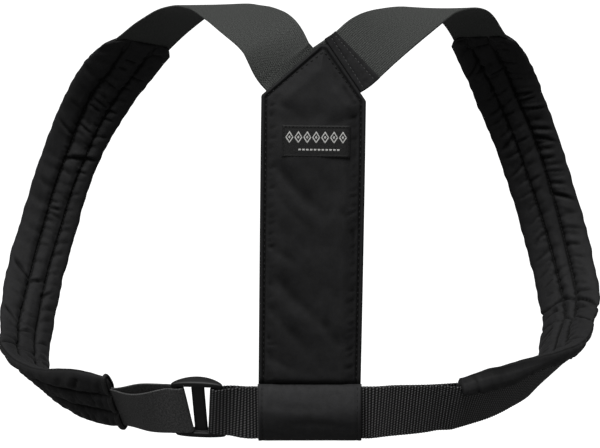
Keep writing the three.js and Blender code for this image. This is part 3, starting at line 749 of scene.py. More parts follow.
def make_piece(name, node_name, places, faces, lay, material, slot):
    """A piece from points in millimetres, which stands for a node of the solids where one is named."""
    places = places.reshape(-1, 3)
    mesh = bpy.data.meshes.new(name)
    mesh.from_pydata((places * MM).tolist(), [], outward(places, faces))
    mesh.polygons.foreach_set("use_smooth", np.full(len(mesh.polygons), True))
    attribute = mesh.attributes.new("lay", "FLOAT_VECTOR", "POINT")
    attribute.data.foreach_set("vector", np.ascontiguousarray(lay, np.float32).ravel())
    mesh.materials.append(material)
    mesh.update()
    piece = bpy.data.objects.new(name, mesh)
    bpy.context.scene.collection.objects.link(piece)
    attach(piece, "root")
    if node_name:
        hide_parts(node_name)
    return piece


def grid_faces(rings, points):
    """Four-sided faces between neighbouring rings of points."""
    r, i = np.meshgrid(np.arange(rings - 1), np.arange(points), indexing="ij")
    j = (i + 1) % points
    quads = np.stack([r * points + i, r * points + j, (r + 1) * points + j, (r + 1) * points + i], axis=-1)
    return quads.reshape(-1, 4).tolist()


def tube_faces(rings, points):
    """The sides and the two flat ends of a tube."""
    last = (rings - 1) * points
    return grid_faces(rings, points) + [list(range(points))[::-1], [last + k for k in range(points)]]


def strip_caps(rings, points):
    """Faces that close both ends of a swept strap, whose section is two chains of half the points."""
    half = points // 2
    last = (rings - 1) * points
    faces = []
    for i in range(half - 1):
        a, b, c, d = i, i + 1, points - 2 - i, points - 1 - i
        faces.append([a, d, c, b])
        faces.append([last + a, last + b, last + c, last + d])
    return faces


def joined(bodies):
    """One body from several, each of places, faces and lay."""
    all_faces, base = [], 0
    for places, faces, _ in bodies:
        all_faces += [[base + k for k in face] for face in faces]
        base += len(places)
    return np.vstack([body[0] for body in bodies]), all_faces, np.vstack([body[2] for body in bodies])


# Routes
#
# A route is a smooth line through stations, with the direction that the strap's outer face looks to.

def curve_through(points, count):
    """Places on the centripetal curve through the points, evenly spread over its stations."""
    points = np.asarray(points, float)
    extended = np.vstack([2 * points[0] - points[1], points, 2 * points[-1] - points[-2]])
    last = len(points) - 1
    places = np.linspace(0, last, count)
    start = np.minimum(places.astype(int), last - 1)
    w = (places - start)[:, None]
    p0, p1, p2, p3 = (extended[start + k] for k in range(4))
    d0, d1, d2 = (np.sqrt(np.linalg.norm(b - a, axis=1))[:, None] for a, b in ((p0, p1), (p1, p2), (p2, p3)))
    d1 = np.where(d1 < NEAR_NOTHING, 1.0, d1)
    d0 = np.where(d0 < NEAR_NOTHING, d1, d0)
    d2 = np.where(d2 < NEAR_NOTHING, d1, d2)
    t1 = ((p1 - p0) / d0 - (p2 - p0) / (d0 + d1) + (p2 - p1) / d1) * d1
    t2 = ((p2 - p1) / d1 - (p3 - p1) / (d1 + d2) + (p3 - p2) / d2) * d1
    return p1 + t1 * w + (3 * (p2 - p1) - 2 * t1 - t2) * w ** 2 + (2 * (p1 - p2) + t1 + t2) * w ** 3


class Frames:
    """Places along a strap with the directions along, across and out of it."""

    def __init__(self, at, along, facing, length):
        self.at = at
        self.along = unit(along)
        self.facing = unit(facing - (facing * self.along).sum(-1, keepdims=True) * self.along)
        self.across = np.cross(self.along, self.facing)
        self.length = length

    def shifted(self, out):
        out = np.broadcast_to(out, self.length.shape)[:, None]
        return Frames(self.at + self.facing * out, self.along, self.facing, self.length)

    def flipped(self):
        return Frames(self.at[::-1], -self.along[::-1], -self.facing[::-1], self.length[::-1])

    def between(self, run, goals, keep=slice(None)):
        """Frames at the goals along a run."""
        values = (self.at, self.along, self.facing)
        return Frames(*(picked(goals, run[keep], value[keep]) for value in values), goals)

    def placed(self, section):
        """The places of a section on each frame. section is (frames, points, 2): across and out."""
        across = section[..., :1] * self.across[:, None]
        return self.at[:, None] + across + section[..., 1:] * self.facing[:, None]


class Route:
    def __init__(self, points, facings):
        at = curve_through(points, ROUTE_SAMPLES)
        length = run_of(at)
        self.stations = len(points)
        self.samples = Frames(at, np.gradient(at, axis=0), curve_through(facings, ROUTE_SAMPLES), length)
        self.total = length[-1]

    def frames(self, lengths):
        return self.samples.between(self.samples.length, np.atleast_1d(np.asarray(lengths, float)))

    def length_at(self, station):
        return self.samples.length[round(station / (self.stations - 1) * (ROUTE_SAMPLES - 1))]


def join_frames(*parts):
    names = ("at", "along", "facing", "length")
    return Frames(*(np.concatenate([getattr(part, name) for part in parts]) for name in names))


def make_panel_route():
    points = [
        (PANEL_LEAN * rise, -depth * BACK_DEPTH, PANEL_BOTTOM + rise * PANEL_HEIGHT)
        for rise, depth in PANEL_ROWS
    ]
    return Route(points, [(0, -1, 0)] * len(points))


def station_points(rows, reach):
    return [
        (x * reach, y * (CHEST_DEPTH if y > 0 else BACK_DEPTH), z * BELT_DROP)
        for x, y, z, _ in rows
    ]


def station_facings(rows):
    return [facing / np.linalg.norm(facing) for *_, facing in rows]


def panel_edges(length):
    """The panel's left and right edges at a height above the seam, from its middle line."""
    below_tip = (1 - np.asarray(length) / panel_route.total) * PANEL_HEIGHT
    left, right = (
        blend(TIP_OFFSET + side * TIP_WIDTH / 2, side * HALF_PANEL, np.clip(below_tip / drop, 0, 1))
        for side, drop in PANEL_CORNERS
    )
    return left, right


def strap_start(side, shift, layer):
    """Points and facing of the flat run of an elastic strap behind a slanted edge of the panel."""
    drop = LEFT_CORNER_DROP if side < 0 else RIGHT_CORNER_DROP
    length = panel_route.total * (1 - drop / 2 / PANEL_HEIGHT)
    at = panel_route.frames(length)
    edge = panel_edges(length)[0 if side < 0 else 1]
    slope = unit(np.array([TIP_OFFSET + side * (TIP_WIDTH / 2 - HALF_PANEL), drop]))
    uphill = at.across * slope[0] + at.along * slope[1]
    out = at.across * side * slope[1] - at.along * side * slope[0]
    start = at.at + at.across * edge - at.facing * layer + uphill * shift
    return [(start + out * run)[0] for run in START_RUN], [at.facing[0]] * len(START_RUN)


def make_right_route():
    points, facings = strap_start(1, RIGHT_ELASTIC_SHIFT, RIGHT_LAYER)
    rows = RIGHT_ROWS + RIGHT_BELT_ROWS
    belt = [(x, -BELT_DEPTH, -BELT_DROP) for x in BELT_RUN]
    points += station_points(rows, RIGHT_REACH) + belt + station_points(BUCKLE_ROWS, LEFT_REACH)
    sleeve = np.array(SLEEVE_FACING) / np.linalg.norm(SLEEVE_FACING)
    facings += station_facings(rows) + [sleeve] * len(belt) + station_facings(BUCKLE_ROWS)
    return Route(points, facings)


def make_left_route():
    points, facings = strap_start(-1, 0, LEFT_LAYER)
    points += station_points(LEFT_ROWS, LEFT_REACH)
    facings += station_facings(LEFT_ROWS)
    for run in (BAR_SPACING + BAR_APPROACH, BAR_SPACING):
        points.append((right_bar.at + right_bar.along * run)[0])
        facings.append(right_bar.facing[0])
    return Route(points, facings)


# Straps
#
# A flat strap's section is one loop: its outer chain of points across, and the same chain mirrored to
# the inner face on the way back.

def strap_section(width, thickness, columns):
    radius = thickness / 2
    turn = (np.arange(EDGE_POINTS) + 0.5) / EDGE_POINTS * math.pi / 2
    left = np.stack([radius - width / 2 - radius * np.cos(turn), radius * np.sin(turn)], axis=1)
    flat = np.stack([np.linspace(-1, 1, columns) * (width / 2 - radius), np.full(columns, radius)], axis=1)
    chain = np.vstack([left, flat, left[::-1] * [-1, 1]])
    return np.vstack([chain, chain[::-1] * [1, -1]])


def swept(name, node_name, frames, section, material, slot, slant=0.0, push=0.0, hollow=0.0):
    """A closed body with one ring for each frame. section is (rings, points, 2): across and out.

    slant moves points along the strap, and push moves them by a vector. hollow is how deep each point
    lies in a fold or a seam, from 0 to 1, by which the cloth's colour is darkened as painted shade."""
    rings, points = section.shape[:2]
    along = np.broadcast_to(slant, (rings, points))[..., None] * frames.along[:, None]
    places = frames.placed(section) + along + push
    faces = grid_faces(rings, points) + strip_caps(rings, points)
    lay = lay_on(frames, section, hollow)
    return make_piece(name, node_name, places, faces, lay, material, slot), places


def lay_on(frames, section, hollow=0.0):
    lay = np.zeros((*section.shape[:2], 3))
    lay[..., 0] = frames.length[:, None]
    lay[..., 1] = section[..., 0]
    lay[..., 2] = hollow
    return lay


def make_walled_tube(name, node_name, frames, outer, inner, material, slot):
    """A tube with a wall: rings of its outer face one way, and of its inner face back."""
    frames = join_frames(frames, frames.between(frames.length, frames.length[::-1]))
    section = np.concatenate([outer, inner[::-1]])
    rings, points = section.shape[:2]
    last = (rings - 1) * points
    faces = grid_faces(rings, points)
    faces += [[last + i, last + (i + 1) % points, (i + 1) % points, i] for i in range(points)]
    places = frames.placed(section)
    make_piece(name, node_name, places, faces, lay_on(frames, section), material, slot)
    return places


def round_share(depth, radius):
    """How full a rounded edge is at a depth behind it, from 0 to 1."""
    t = np.clip(np.asarray(depth, float) / radius, 0, 1)
    return np.sqrt(1 - (1 - t) ** 2)


def strap_rings(frames, width, thickness, columns):
    """The same section at every frame, thinned at the strap's two cut ends."""
    section = np.repeat(strap_section(width, thickness, columns)[None], len(frames.length), axis=0)
    section[..., 1] *= (0.4 + 0.6 * round_share(from_ends(run_of(frames.at)), thickness / 2))[:, None]
    return section


def two_faces(x, outer, inner):
    """A section from its outer and its inner face, over the same places across."""
    return np.concatenate([np.stack([x, outer], axis=-1), np.stack([x, inner], axis=-1)[:, ::-1]], axis=1)


# Relief of sewn cloth

def waves_of(rng, u, v, length, count=7):
    """A gentle unevenness of about -1 to 1, with bumps of about the given length."""
    total = np.zeros(np.broadcast(u, v).shape)
    for _ in range(count):
        angle = rng.uniform(0, math.pi)
        pitch = length * rng.uniform(0.7, 1.7)
        phase = rng.uniform(0, 2 * math.pi)
        total += np.sin((u * math.cos(angle) + v * math.sin(angle)) * 2 * math.pi / pitch + phase)
    return total / math.sqrt(count / 2) / 2


def swells(rng, u, v, rows):
    return sum(height * waves_of(rng, u, v, length) for height, length in rows)


def hem(inside, rows):
    """Ridges and grooves along an edge, by how far a place lies inside it."""
    return sum(height * bump(inside, inset, width) for height, inset, width in rows)


def crease(u, v, start, end, depth, width):
    """A hollow along a line with a raised shoulder on one side, fading towards its end."""
    start, end = np.array(start, float), np.array(end, float)
    run = np.linalg.norm(end - start)
    along = (end - start) / run
    t = ((u - start[0]) * along[0] + (v - start[1]) * along[1]) / run
    side = (v - start[1]) * along[0] - (u - start[0]) * along[1]
    side = side + 0.12 * run * (t - 0.5) ** 2
    fade = smooth(t, -0.12, 0.12) * (1 - smooth(t, 0.5, 1.1))
    hollow = bump(side, 0, width) - 0.6 * bump(side, 2.0 * width, 1.7 * width)
    return -depth * fade * hollow


def fold(u, v, across, lengths, depth, width):
    """A deep hollow right across a strap, through the given places, with a raised far shoulder."""
    side = u - np.interp(v, across, lengths)
    return -depth * (bump(side, 0, width) - 0.45 * bump(side, 2.4 * width, 1.8 * width))


def puckers(rng, u, v, lanes, length):
    """Creases that start at a seam or an edge. A lane is (from, to, pitch, lean, depth, width)."""
    total = np.zeros(u.shape)
    for v_from, v_to, pitch, lean, depth, width in lanes:
        at = rng.uniform(0, pitch)
        while at < length:
            reach = rng.uniform(0.55, 1.1)
            end_v = v_from + (v_to - v_from) * reach
            end_u = at + lean * rng.uniform(0.3, 1.5) * reach
            size = depth * rng.uniform(0.35, 1.25)
            total += crease(u, v, (at, v_from), (end_u, end_v), size, width * rng.uniform(0.7, 1.5))
            at += pitch * rng.uniform(0.55, 1.55)
    return total


def hollow_shade(height, reach, depth):
    """How far each place of a face lies below its surroundings, from 0 to 1 at the given depth.

    It is the mask of the painted shade in folds and seams.
    """
    level = height
    for axis, cells in enumerate(reach):
        around = [(cells, cells) if k == axis else (0, 0) for k in (0, 1)]
        kernel = np.ones(2 * cells + 1) / (2 * cells + 1)
        level = np.apply_along_axis(np.convolve, axis, np.pad(level, around, "edge"), kernel, "valid")
    return np.clip((level - height) / depth, 0, 1)


def both_hollow_shades(section, columns, reach, depth):
    """The painted shade in the hollows of a section's outer face, and then of its inner face."""
    faces = (section[:, :columns, 1], -section[:, columns:, 1])
    return np.concatenate([hollow_shade(height, reach, depth) for height in faces], axis=1)


# Stitches
#
# Each dash is a short thread that dips into the cloth at both ends.

def dash(at, along, side, up, length, radius):
    turn = np.arange(DASH_SIDES) * 2 * math.pi / DASH_SIDES
    places, lay = [], np.zeros((len(DASH_RINGS), DASH_SIDES, 3))
    lay[..., 1] = turn * radius
    for ring, (share, thick) in enumerate(DASH_RINGS):
        r = radius * max(thick, 0.15)
        middle = at + along * share * length / 2 - up * radius * 1.1 * abs(share) ** 3
        places.append(middle + np.outer(np.cos(turn) * r, side) + np.outer(np.sin(turn) * r, up))
        lay[ring, :, 0] = share * length / 2
    return np.vstack(places), tube_faces(len(DASH_RINGS), DASH_SIDES), lay.reshape(-1, 3)


def stitch_rows(name, rows, material, slot):
    """One mesh of dashes. Each row is a line of places and the cloth's outward directions there."""
    pitch, length, radius = STITCHES[name]
    dashes = []
    for line, facing in rows:
        run = run_of(line)
        count = max(2, round(run[-1] / pitch))
        at = picked((np.arange(count) + 0.5) * run[-1] / count, run, line)
        near = [np.argmin(((line - place) ** 2).sum(axis=1)) for place in at]
        along = unit(np.gradient(at, axis=0))
        side = unit(np.cross(along, unit(facing[near])))
        up = np.cross(side, along)
        dashes += [dash(*spot, length, radius) for spot in zip(at, along, side, up)]
    return make_piece(name, None, *joined(dashes), material, slot)


def ring_row(places, frames, ring, columns):
    """A row of stitches along one ring of a piece, with the outward directions there."""
    line = places[ring, columns]
    return line, np.repeat(frames.facing[ring][None], len(line), axis=0)


# Back panel, label and sleeve

def panel_distance(length, x):
    """How far a place on the panel lies inside its side and slanted edges."""
    tip = panel_route.total
    distance = np.minimum(np.minimum(x + HALF_PANEL, HALF_PANEL - x), tip - length)
    for side, drop in PANEL_CORNERS:
        corner = np.array([side * HALF_PANEL, tip - drop])
        point = np.array([TIP_OFFSET + side * TIP_WIDTH / 2, tip])
        edge = unit(point - corner)
        slanted = side * ((length - corner[1]) * edge[0] - (x - corner[0]) * edge[1])
        distance = np.minimum(distance, slanted)
    return np.maximum(distance, 0)


def panel_frames(lengths):
    """Frames on the panel, whose cloth runs on below the route's first station to meet the sleeve."""
    frames = panel_route.frames(np.maximum(lengths, 0))
    below = np.minimum(lengths, 0)[:, None]
    return Frames(frames.at + frames.along * below, frames.along, frames.facing, np.asarray(lengths))


def panel_relief(length, x):
    rng = np.random.default_rng(11)
    relief = swells(rng, length, x, PANEL_SWELLS)
    for start, end, depth, width in PANEL_CREASES:
        relief = relief + crease(length, x, start, end, PANEL_CREASE_SCALE * depth, width)
    lanes = (
        (-HALF_PANEL + TOPSTITCH_INSET, -HALF_PANEL + 13, 6.0, 3.0, 0.45, 1.2),
        (HALF_PANEL - TOPSTITCH_INSET, HALF_PANEL - 13, 6.0, -3.0, 0.45, 1.2),
    )
    return relief + puckers(rng, length, x, lanes, panel_route.total)


def panel_out(length, x, relief=0.0):
    """Height of the panel's outer face above its inner face."""
    inside = panel_distance(length, x)
    crown = smooth(inside, 1.2, 15)
    out = EDGE_ROUND + (PANEL_EDGE - EDGE_ROUND) * round_share(inside, EDGE_ROUND)
    out = out + (PANEL_THICKNESS - PANEL_EDGE) * crown * 0.93
    out = out + hem(inside, PANEL_HEM)
    out = out + relief * smooth(inside, TOPSTITCH_INSET, TOPSTITCH_INSET + 4)
    seam = 1 - 0.6 * bump(length, -PANEL_FOOT, 3.0)
    return out * seam


def panel_places(length, x, out):
    at = panel_frames(np.ravel(length))
    flat = at.at + at.across * np.ravel(x)[:, None] + at.facing * np.ravel(out)[:, None]
    return flat.reshape(*np.shape(x), 3)


def make_back_panel():
    lengths = evenly(-PANEL_FOOT, panel_route.total, PANEL_RING_STEP)
    across = np.sin(np.linspace(-0.5, 0.5, PANEL_COLUMNS) * math.pi)
    across = blend(np.linspace(-1, 1, PANEL_COLUMNS), across, 0.6)
    left, right = panel_edges(lengths)
    x = (left + right)[:, None] / 2 + (right - left)[:, None] / 2 * across
    length = np.repeat(lengths[:, None], PANEL_COLUMNS, axis=1)
    inner = EDGE_ROUND * (1 - round_share(panel_distance(length, x), EDGE_ROUND)) + 0.05
    outer = np.maximum(panel_out(length, x, panel_relief(length, x)), inner + 0.1)
    section = two_faces(x, outer, inner)
    # Painted shade: how deep each place lies in a fold or seam, which darkens the cloth's colour
    hollow = both_hollow_shades(section, PANEL_COLUMNS, PANEL_SHADE_REACH, SHADE_FULL_DEPTH)
    frames = panel_frames(lengths)
    panel, _ = swept("back_panel_cloth", "back_panel", frames, section, cloth, "padded_cloth", hollow=hollow)


def panel_line(points, out_over=0.05):
    """A line on the panel's outer face with the outward directions along it."""
    points = np.array(points, float)
    run = run_of(points)
    fine = np.linspace(0, run[-1], max(3, round(run[-1])))
    length, x = (np.interp(fine, run, points[:, k]) for k in (0, 1))
    places = panel_places(length, x, panel_out(length, x) + out_over)
    return places, np.repeat([[0.0, -1.0, 0.0]], len(places), axis=0)


def make_panel_stitches():
    tip = panel_route.total
    side = HALF_PANEL - TOPSTITCH_INSET
    line = (
        (1.5, -side),
        (tip - LEFT_CORNER_DROP - 1.0, -side),
        (tip - 1.55 * TOPSTITCH_INSET, TIP_OFFSET),
        (tip - RIGHT_CORNER_DROP - 1.0, side),
        (1.5, side),
    )
    rows = [panel_line(line[k:k + 2]) for k in range(len(line) - 1)]
    stitch_rows("panel_topstitch", rows, thread_and_hole_shade, "padded_cloth")


def make_label():
    lengths = label_middle + np.linspace(-0.5, 0.5, LABEL_RINGS) * LABEL_HEIGHT
    x = LABEL_OFFSET + np.linspace(-0.5, 0.5, LABEL_COLUMNS) * LABEL_WIDTH
    length, x = np.meshgrid(lengths, x, indexing="ij")
    edge = np.minimum(
        LABEL_HEIGHT / 2 - np.abs(length - label_middle), LABEL_WIDTH / 2 - np.abs(x - LABEL_OFFSET)
    )
    base = panel_out(length, x)
    outer = base + GAP + LABEL_THICKNESS * (0.3 + 0.7 * round_share(edge, 0.8)) + hem(edge, LABEL_HEM)
    section = two_faces(x, outer, base - LABEL_SINK)
    swept("label_weave", "label_patch", panel_route.frames(lengths), section, label_cloth, "label")


def raised_plate(outline, lift, height):
    """Embroidery raised on the label, from an outline of (up, across) corners."""
    corners = np.array(outline, float)
    centre = corners.mean(axis=0)
    places, lay = [], []
    for grow, rise in ((1.0, 0.0), (1.0, 0.6), (0.8, 1.0), (0.4, 1.15)):
        spot = centre + (corners - centre) * grow
        out = panel_out(spot[:, 0], spot[:, 1]) + lift + height * rise
        places.append(panel_places(spot[:, 0], spot[:, 1], out))
        lay.append(np.column_stack([spot, np.zeros(len(corners))]))
    return np.vstack(places), tube_faces(len(places), len(corners)), np.vstack(lay)


def make_motif():
    """A row of lozenges over a row of short dashes."""
    plates = []
    for k in range(MOTIF_COUNT):
        heart = np.array([MOTIF_UP + label_middle, LABEL_OFFSET + (k - (MOTIF_COUNT - 1) / 2) * MOTIF_PITCH])
        corners = [heart + np.array(way) * (MOTIF_HALF_HEIGHT, MOTIF_HALF_WIDTH) for way in LOZENGE]
        for a, b in zip(corners, corners[1:] + corners[:1]):
            plates.append([a, b, blend(heart, b, MOTIF_OPENING), blend(heart, a, MOTIF_OPENING)])
        plates.append([blend(heart, corner, 0.3) for corner in corners])
    for k in range(DASH_COUNT):
        across = LABEL_OFFSET + DASH_SHIFT + (k - (DASH_COUNT - 1) / 2) * DASH_PITCH
        plates.append([(label_middle - DASH_DROP + 0.6 * up, across + 0.85 * side) for up, side in BLOCK])
    bodies = [raised_plate(plate, GAP + LABEL_THICKNESS - 0.1, 0.3) for plate in plates]
    make_piece("label_motif", None, *joined(bodies), pale_thread, "label")


def make_label_stitches():
    half = np.array([LABEL_HEIGHT, LABEL_WIDTH]) / 2 - LABEL_STITCH_INSET
    corners = [(label_middle, LABEL_OFFSET) + np.array(way) * half for way in (*BLOCK, BLOCK[0])]
    rows = [panel_line(corners[k:k + 2], GAP + LABEL_THICKNESS + 0.25) for k in range(4)]
    stitch_rows("label_stitches", rows, thread_and_hole_shade, "label")


def sleeve_outline():
    """The sleeve's outer outline and its hole, as across and out, with the same number of points."""
    half = WEBBING_WIDTH / 2 + GAP
    room = SLEEVE_INSIDE / 2
    a = np.sin(np.linspace(-0.5, 0.5, SLEEVE_COLUMNS) * math.pi)
    reach = half + SLEEVE_WALL
    down = (1 - np.sign(right_route.frames(sleeve_middle).across[0, 2]) * a) / 2
    peak = np.where(down < SLEEVE_PEAK, down / SLEEVE_PEAK, (1 - down) / (1 - SLEEVE_PEAK))
    crown = SLEEVE_CROWN * np.sin(peak * math.pi / 2) ** 0.9
    wall = (room + SLEEVE_WALL) * (0.25 + 0.75 * round_share((1 - np.abs(a)) * reach, SLEEVE_EDGE_ROUND))
    flat = np.full(len(a), room)
    outer, hole = (
        np.vstack([np.stack([wide, front], axis=1), np.stack([wide, -back], axis=1)[::-1]])
        for wide, front, back in ((a * reach, wall + crown, wall), (a * half, flat, flat))
    )
    return outer, hole


def make_sleeve():
    rng = np.random.default_rng(23)
    outline, hole = sleeve_outline()
    lengths = evenly(sleeve_middle - SLEEVE_HALF, sleeve_middle + SLEEVE_HALF, SLEEVE_RING_STEP)
    frames = right_route.frames(lengths)
    edge = from_ends(lengths)
    u, v = np.meshgrid(lengths - sleeve_middle, outline[:, 0], indexing="ij")
    relief = swells(rng, u, v, SLEEVE_SWELLS)
    relief += sum(crease(u, v, *row) for row in SLEEVE_CREASES)
    relief = relief * smooth(edge, 3, 8)[:, None]
    relief += (hem(edge, SLEEVE_HEM) - SLEEVE_END_DIP * (1 - round_share(edge, 1.6)))[:, None]
    is_front = (np.arange(len(outline)) < SLEEVE_COLUMNS)[None]
    shallow = round_share((1 - np.abs(outline[:, 0]) / outline[:, 0].max()) * 20, 4)[None]
    outer, inner = (np.repeat(ring[None], len(lengths), axis=0) for ring in (outline, hole))
    outer[..., 1] += np.where(is_front, relief * shallow, 0)
    places = make_walled_tube(
        "belt_sleeve", "belt_tunnel", frames, outer, inner, sleeve_cloth, "padded_cloth"
    )
    ring = np.argmin(np.abs(edge - TOPSTITCH_INSET))
    columns = slice(4, SLEEVE_COLUMNS - 4)
    rows = [ring_row(places, frames, at, columns) for at in (ring, len(edge) - 1 - ring)]
    stitch_rows("sleeve_stitches", rows, thread_and_hole_shade, "padded_cloth")


# Elastic straps and the tab

def make_elastic(name, node_name, route, pad_top, seed):
    rng = np.random.default_rng(seed)
    lengths = evenly(0, pad_top + POCKET_DEPTH, ELASTIC_RING_STEP)
    frames = route.frames(lengths)
    section = strap_rings(frames, ELASTIC_WIDTH, ELASTIC_THICKNESS, ELASTIC_COLUMNS)
    u, v = np.broadcast_arrays(lengths[:, None], section[..., 0])
    held = ELASTIC_TUCK + TAB_LENGTH
    free = smooth(u, held, held + 14) * (1 - smooth(u, pad_top - 8, pad_top))
    section[..., 1] += free * 0.35 * waves_of(rng, u, v * 0.4, 46)
    section[..., 0] += free * 0.3 * waves_of(rng, u, u * 0, 30) * np.sign(v)
    swept(name, node_name, frames, section, elastic, "knitted_elastic")


def make_tab():
    rng = np.random.default_rng(5)
    start = ELASTIC_TUCK + GAP
    lengths = evenly(start, start + TAB_LENGTH, TAB_RING_STEP)
    frames = right_route.frames(lengths).shifted(ELASTIC_THICKNESS / 2 + GAP + TAB_THICKNESS / 2)
    section = strap_rings(frames, TAB_WIDTH, TAB_THICKNESS, TAB_COLUMNS)
    run = np.repeat((lengths - start)[:, None], section.shape[1], axis=1)
    relief = 0.25 * bump(run, 11.4, 0.9) + 0.12 * waves_of(rng, run, section[..., 0], 7)
    relief -= 0.3 * sum(bump(run, seam, 0.6) for seam in TAB_SEAMS)
    section[..., 1] += np.where(section[..., 1] > 0, relief, 0)
    _, places = swept("strap_tab_cloth", "strap_tab_right", frames, section, cloth, "padded_cloth")
    rings = [np.argmin(np.abs(lengths - start - seam)) for seam in TAB_SEAMS]
    rows = [ring_row(places, frames, ring, slice(5, TAB_COLUMNS + 3)) for ring in rings]
    stitch_rows("tab_stitches", rows, grey_thread, "padded_cloth")


# Shoulder pads
#
# Two seams run the length of each pad. Where the webbing presses on the right pad, the pad's upper edge
# rolls over it.

def make_pad_form(route, top, end, covered, **measures):
    """A pad's measures in one dictionary. The belt lies on the covered length before the pad's end."""
    top, end = (route.length_at(len(START_RUN) + station) for station in (top, end))
    pressed = end - covered if covered else math.inf
    return {"route": route, "top": top, "end": end, "pressed": pressed, **measures}


def pad_size(pad, length):
    """The pad's half width, half thickness and middle at a length along it."""
    from_top = length - pad["top"]
    from_end = pad["end"] - length
    swell = np.sin(math.pi / 2 * np.clip(np.minimum(from_top, from_end) / PAD_LEAD_IN, 0, 1))
    width = blend(PAD_TOP_WIDTH, pad["width"], smooth(from_top, 0, PAD_SHOULDER))
    half = blend(PAD_END_WIDTH, width, smooth(from_end, 0, PAD_TAPER)) / 2
    rise = blend(PAD_END_THICKNESS, PAD_THICKNESS, swell) / 2
    middle = pad["offset"] * pressing(pad, length, PAD_SHOULDER)
    stand = pad["stand"] * smooth(length, pad["end"] - STAND_RUN, pad["end"] - STAND_RUN / 3) / 2
    return half + stand, rise, middle - stand


def pressing(pad, length, run):
    """How far the belt presses on the pad, rising over a run in front of its first touch."""
    if math.isinf(pad["pressed"]):
        return np.zeros_like(length)
    return smooth(length, pad["pressed"] - run, pad["pressed"])


def seam_across(pad, which, length):
    lengths, *seams = zip(*pad["seams"])
    return np.interp(length - pad["top"], lengths, seams[which])


def pad_face(pad, length, share, side, relief=0.0, grow=0.0):
    """Across and out of a place on the pad's outer (side 1) or inner (side -1) face."""
    half, rise, middle = pad_size(pad, length)
    across = share * half
    envelope = np.sqrt(1 - np.abs(share) ** 4 + 1e-9)
    dip = np.zeros(np.broadcast(length, share).shape)
    groove = np.zeros_like(dip)
    for which in (0, 1):
        from_seam = middle + across - seam_across(pad, which, length)
        dip = dip + SEAM_DIP * bump(from_seam, 0, SEAM_DIP_WIDTH)
        groove = groove + bump(from_seam, 0, SEAM_WIDTH)
    out = rise * envelope * (1 - dip) + (relief - SEAM_DEPTH * groove) * envelope
    edges = np.minimum(length - pad["top"], pad["end"] - length)
    out = np.maximum(out, 0.25 * rise * envelope) * (0.68 + 0.32 * round_share(edges, PAD_LIP))
    if side > 0:
        across, out = rolled(pad, length, share, middle, half, out, relief)
    return middle + across * (1 + grow / half), side * (out + grow)


def rolled(pad, length, share, middle, half, out, relief):
    """The outer face where the belt lies on it: flat under the webbing, and a roll beside it."""
    pressed = pressing(pad, length, PAD_LEAD_IN)
    rim = (WEBBING_WIDTH / 2 + 2 * GAP - middle) / half
    under = share <= PAD_LOBE
    low = -1 + (share + 1) * (rim + 1) / (PAD_LOBE + 1)
    high = rim + (share - PAD_LOBE) * (1 - rim) / (1 - PAD_LOBE)
    turn = np.clip((share - PAD_LOBE) / (1 - PAD_LOBE), 0, 1)
    lap = ROLL_LAP * np.sin(math.pi * np.clip(turn / 0.75, 0, 1)) ** 1.2
    thin = PAD_END_THICKNESS / 2
    crown = thin + (ROLL_HEIGHT - thin) * np.sin(math.pi * np.clip(turn / 1.05, 0, 1) ** 0.85)
    roll = crown * (1 - 0.85 * smooth(turn, 0.6, 1)) + relief * 1.2
    lapping = pressing(pad, length - LAP_END, LAP_END - LAP_START)
    standing = blend(out, np.maximum(roll, 0.3), lapping)
    flat = np.where(under, np.minimum(out, thin - 0.05), standing)
    across = blend(share, np.where(under, low, high), pressed) * half
    return across - lapping * np.where(under, 0, lap), blend(out, flat, pressed)


def pad_relief(pad, length, across, face):
    rng = np.random.default_rng(pad["seed"] + (face == "inner"))
    start = length - pad["top"]
    total = pad["end"] - pad["top"]
    relief = swells(rng, start, across, PAD_SWELLS)
    relief = relief + puckers(rng, start, across, pad["lanes"], total)
    for points in pad["creases"][face]:
        relief = relief + crease(start, across, *points)
    for row in pad["folds"]:
        relief = relief + fold(start, across, *row)
    loose = 1 + TOP_LOOSENESS * (1 - smooth(start, 60, 140))
    return relief * loose * smooth(start, -4, 8) * (1 - smooth(start, total - 10, total - 2))


def pad_shares():
    share = np.linspace(-1, 1, PAD_COLUMNS)
    return blend(share, np.sin(share * math.pi / 2), 0.75)


def pad_section(pad, lengths, with_relief=True, grow=0.0):
    length, share = np.meshgrid(lengths, pad_shares(), indexing="ij")
    half, _, middle = pad_size(pad, length)
    across = middle + share * half
    sides = []
    for face, side in (("outer", 1), ("inner", -1)):
        relief = pad_relief(pad, length, across, face) if with_relief else 0.0
        sides.append(np.stack(pad_face(pad, length, share, side, relief, grow), axis=-1))
    section = np.concatenate([sides[0], sides[1][:, ::-1]], axis=1)
    if with_relief:
        wave_edges(pad, lengths - pad["top"], lengths, section)
    return section


def wave_edges(pad, start, lengths, section):
    """Moves the pad's edges where puckers draw them in, where they flare, and where folds end."""
    rng = np.random.default_rng(pad["seed"] + 2)
    waves = swells(rng, lengths, 0 * lengths, PAD_EDGE_SWELLS)
    section[..., 0] += waves[:, None] * np.clip(section[..., 0] / 24, -1, 1) ** 3
    moves = [(side, at, out, width, 0) for side, at, out, width in pad["flares"]]
    for _, at, depth, width in pad["folds"]:
        moves += [(side, edge, -NOTCH_SHARE * depth, width, 14) for side, edge in ((-1, at[0]), (1, at[-1]))]
    for side, at, out, width, inside in moves:
        moved = side * out * bump(start, at, width)
        section[..., 0] += moved[:, None] * smooth(side * section[..., 0], inside, 24)


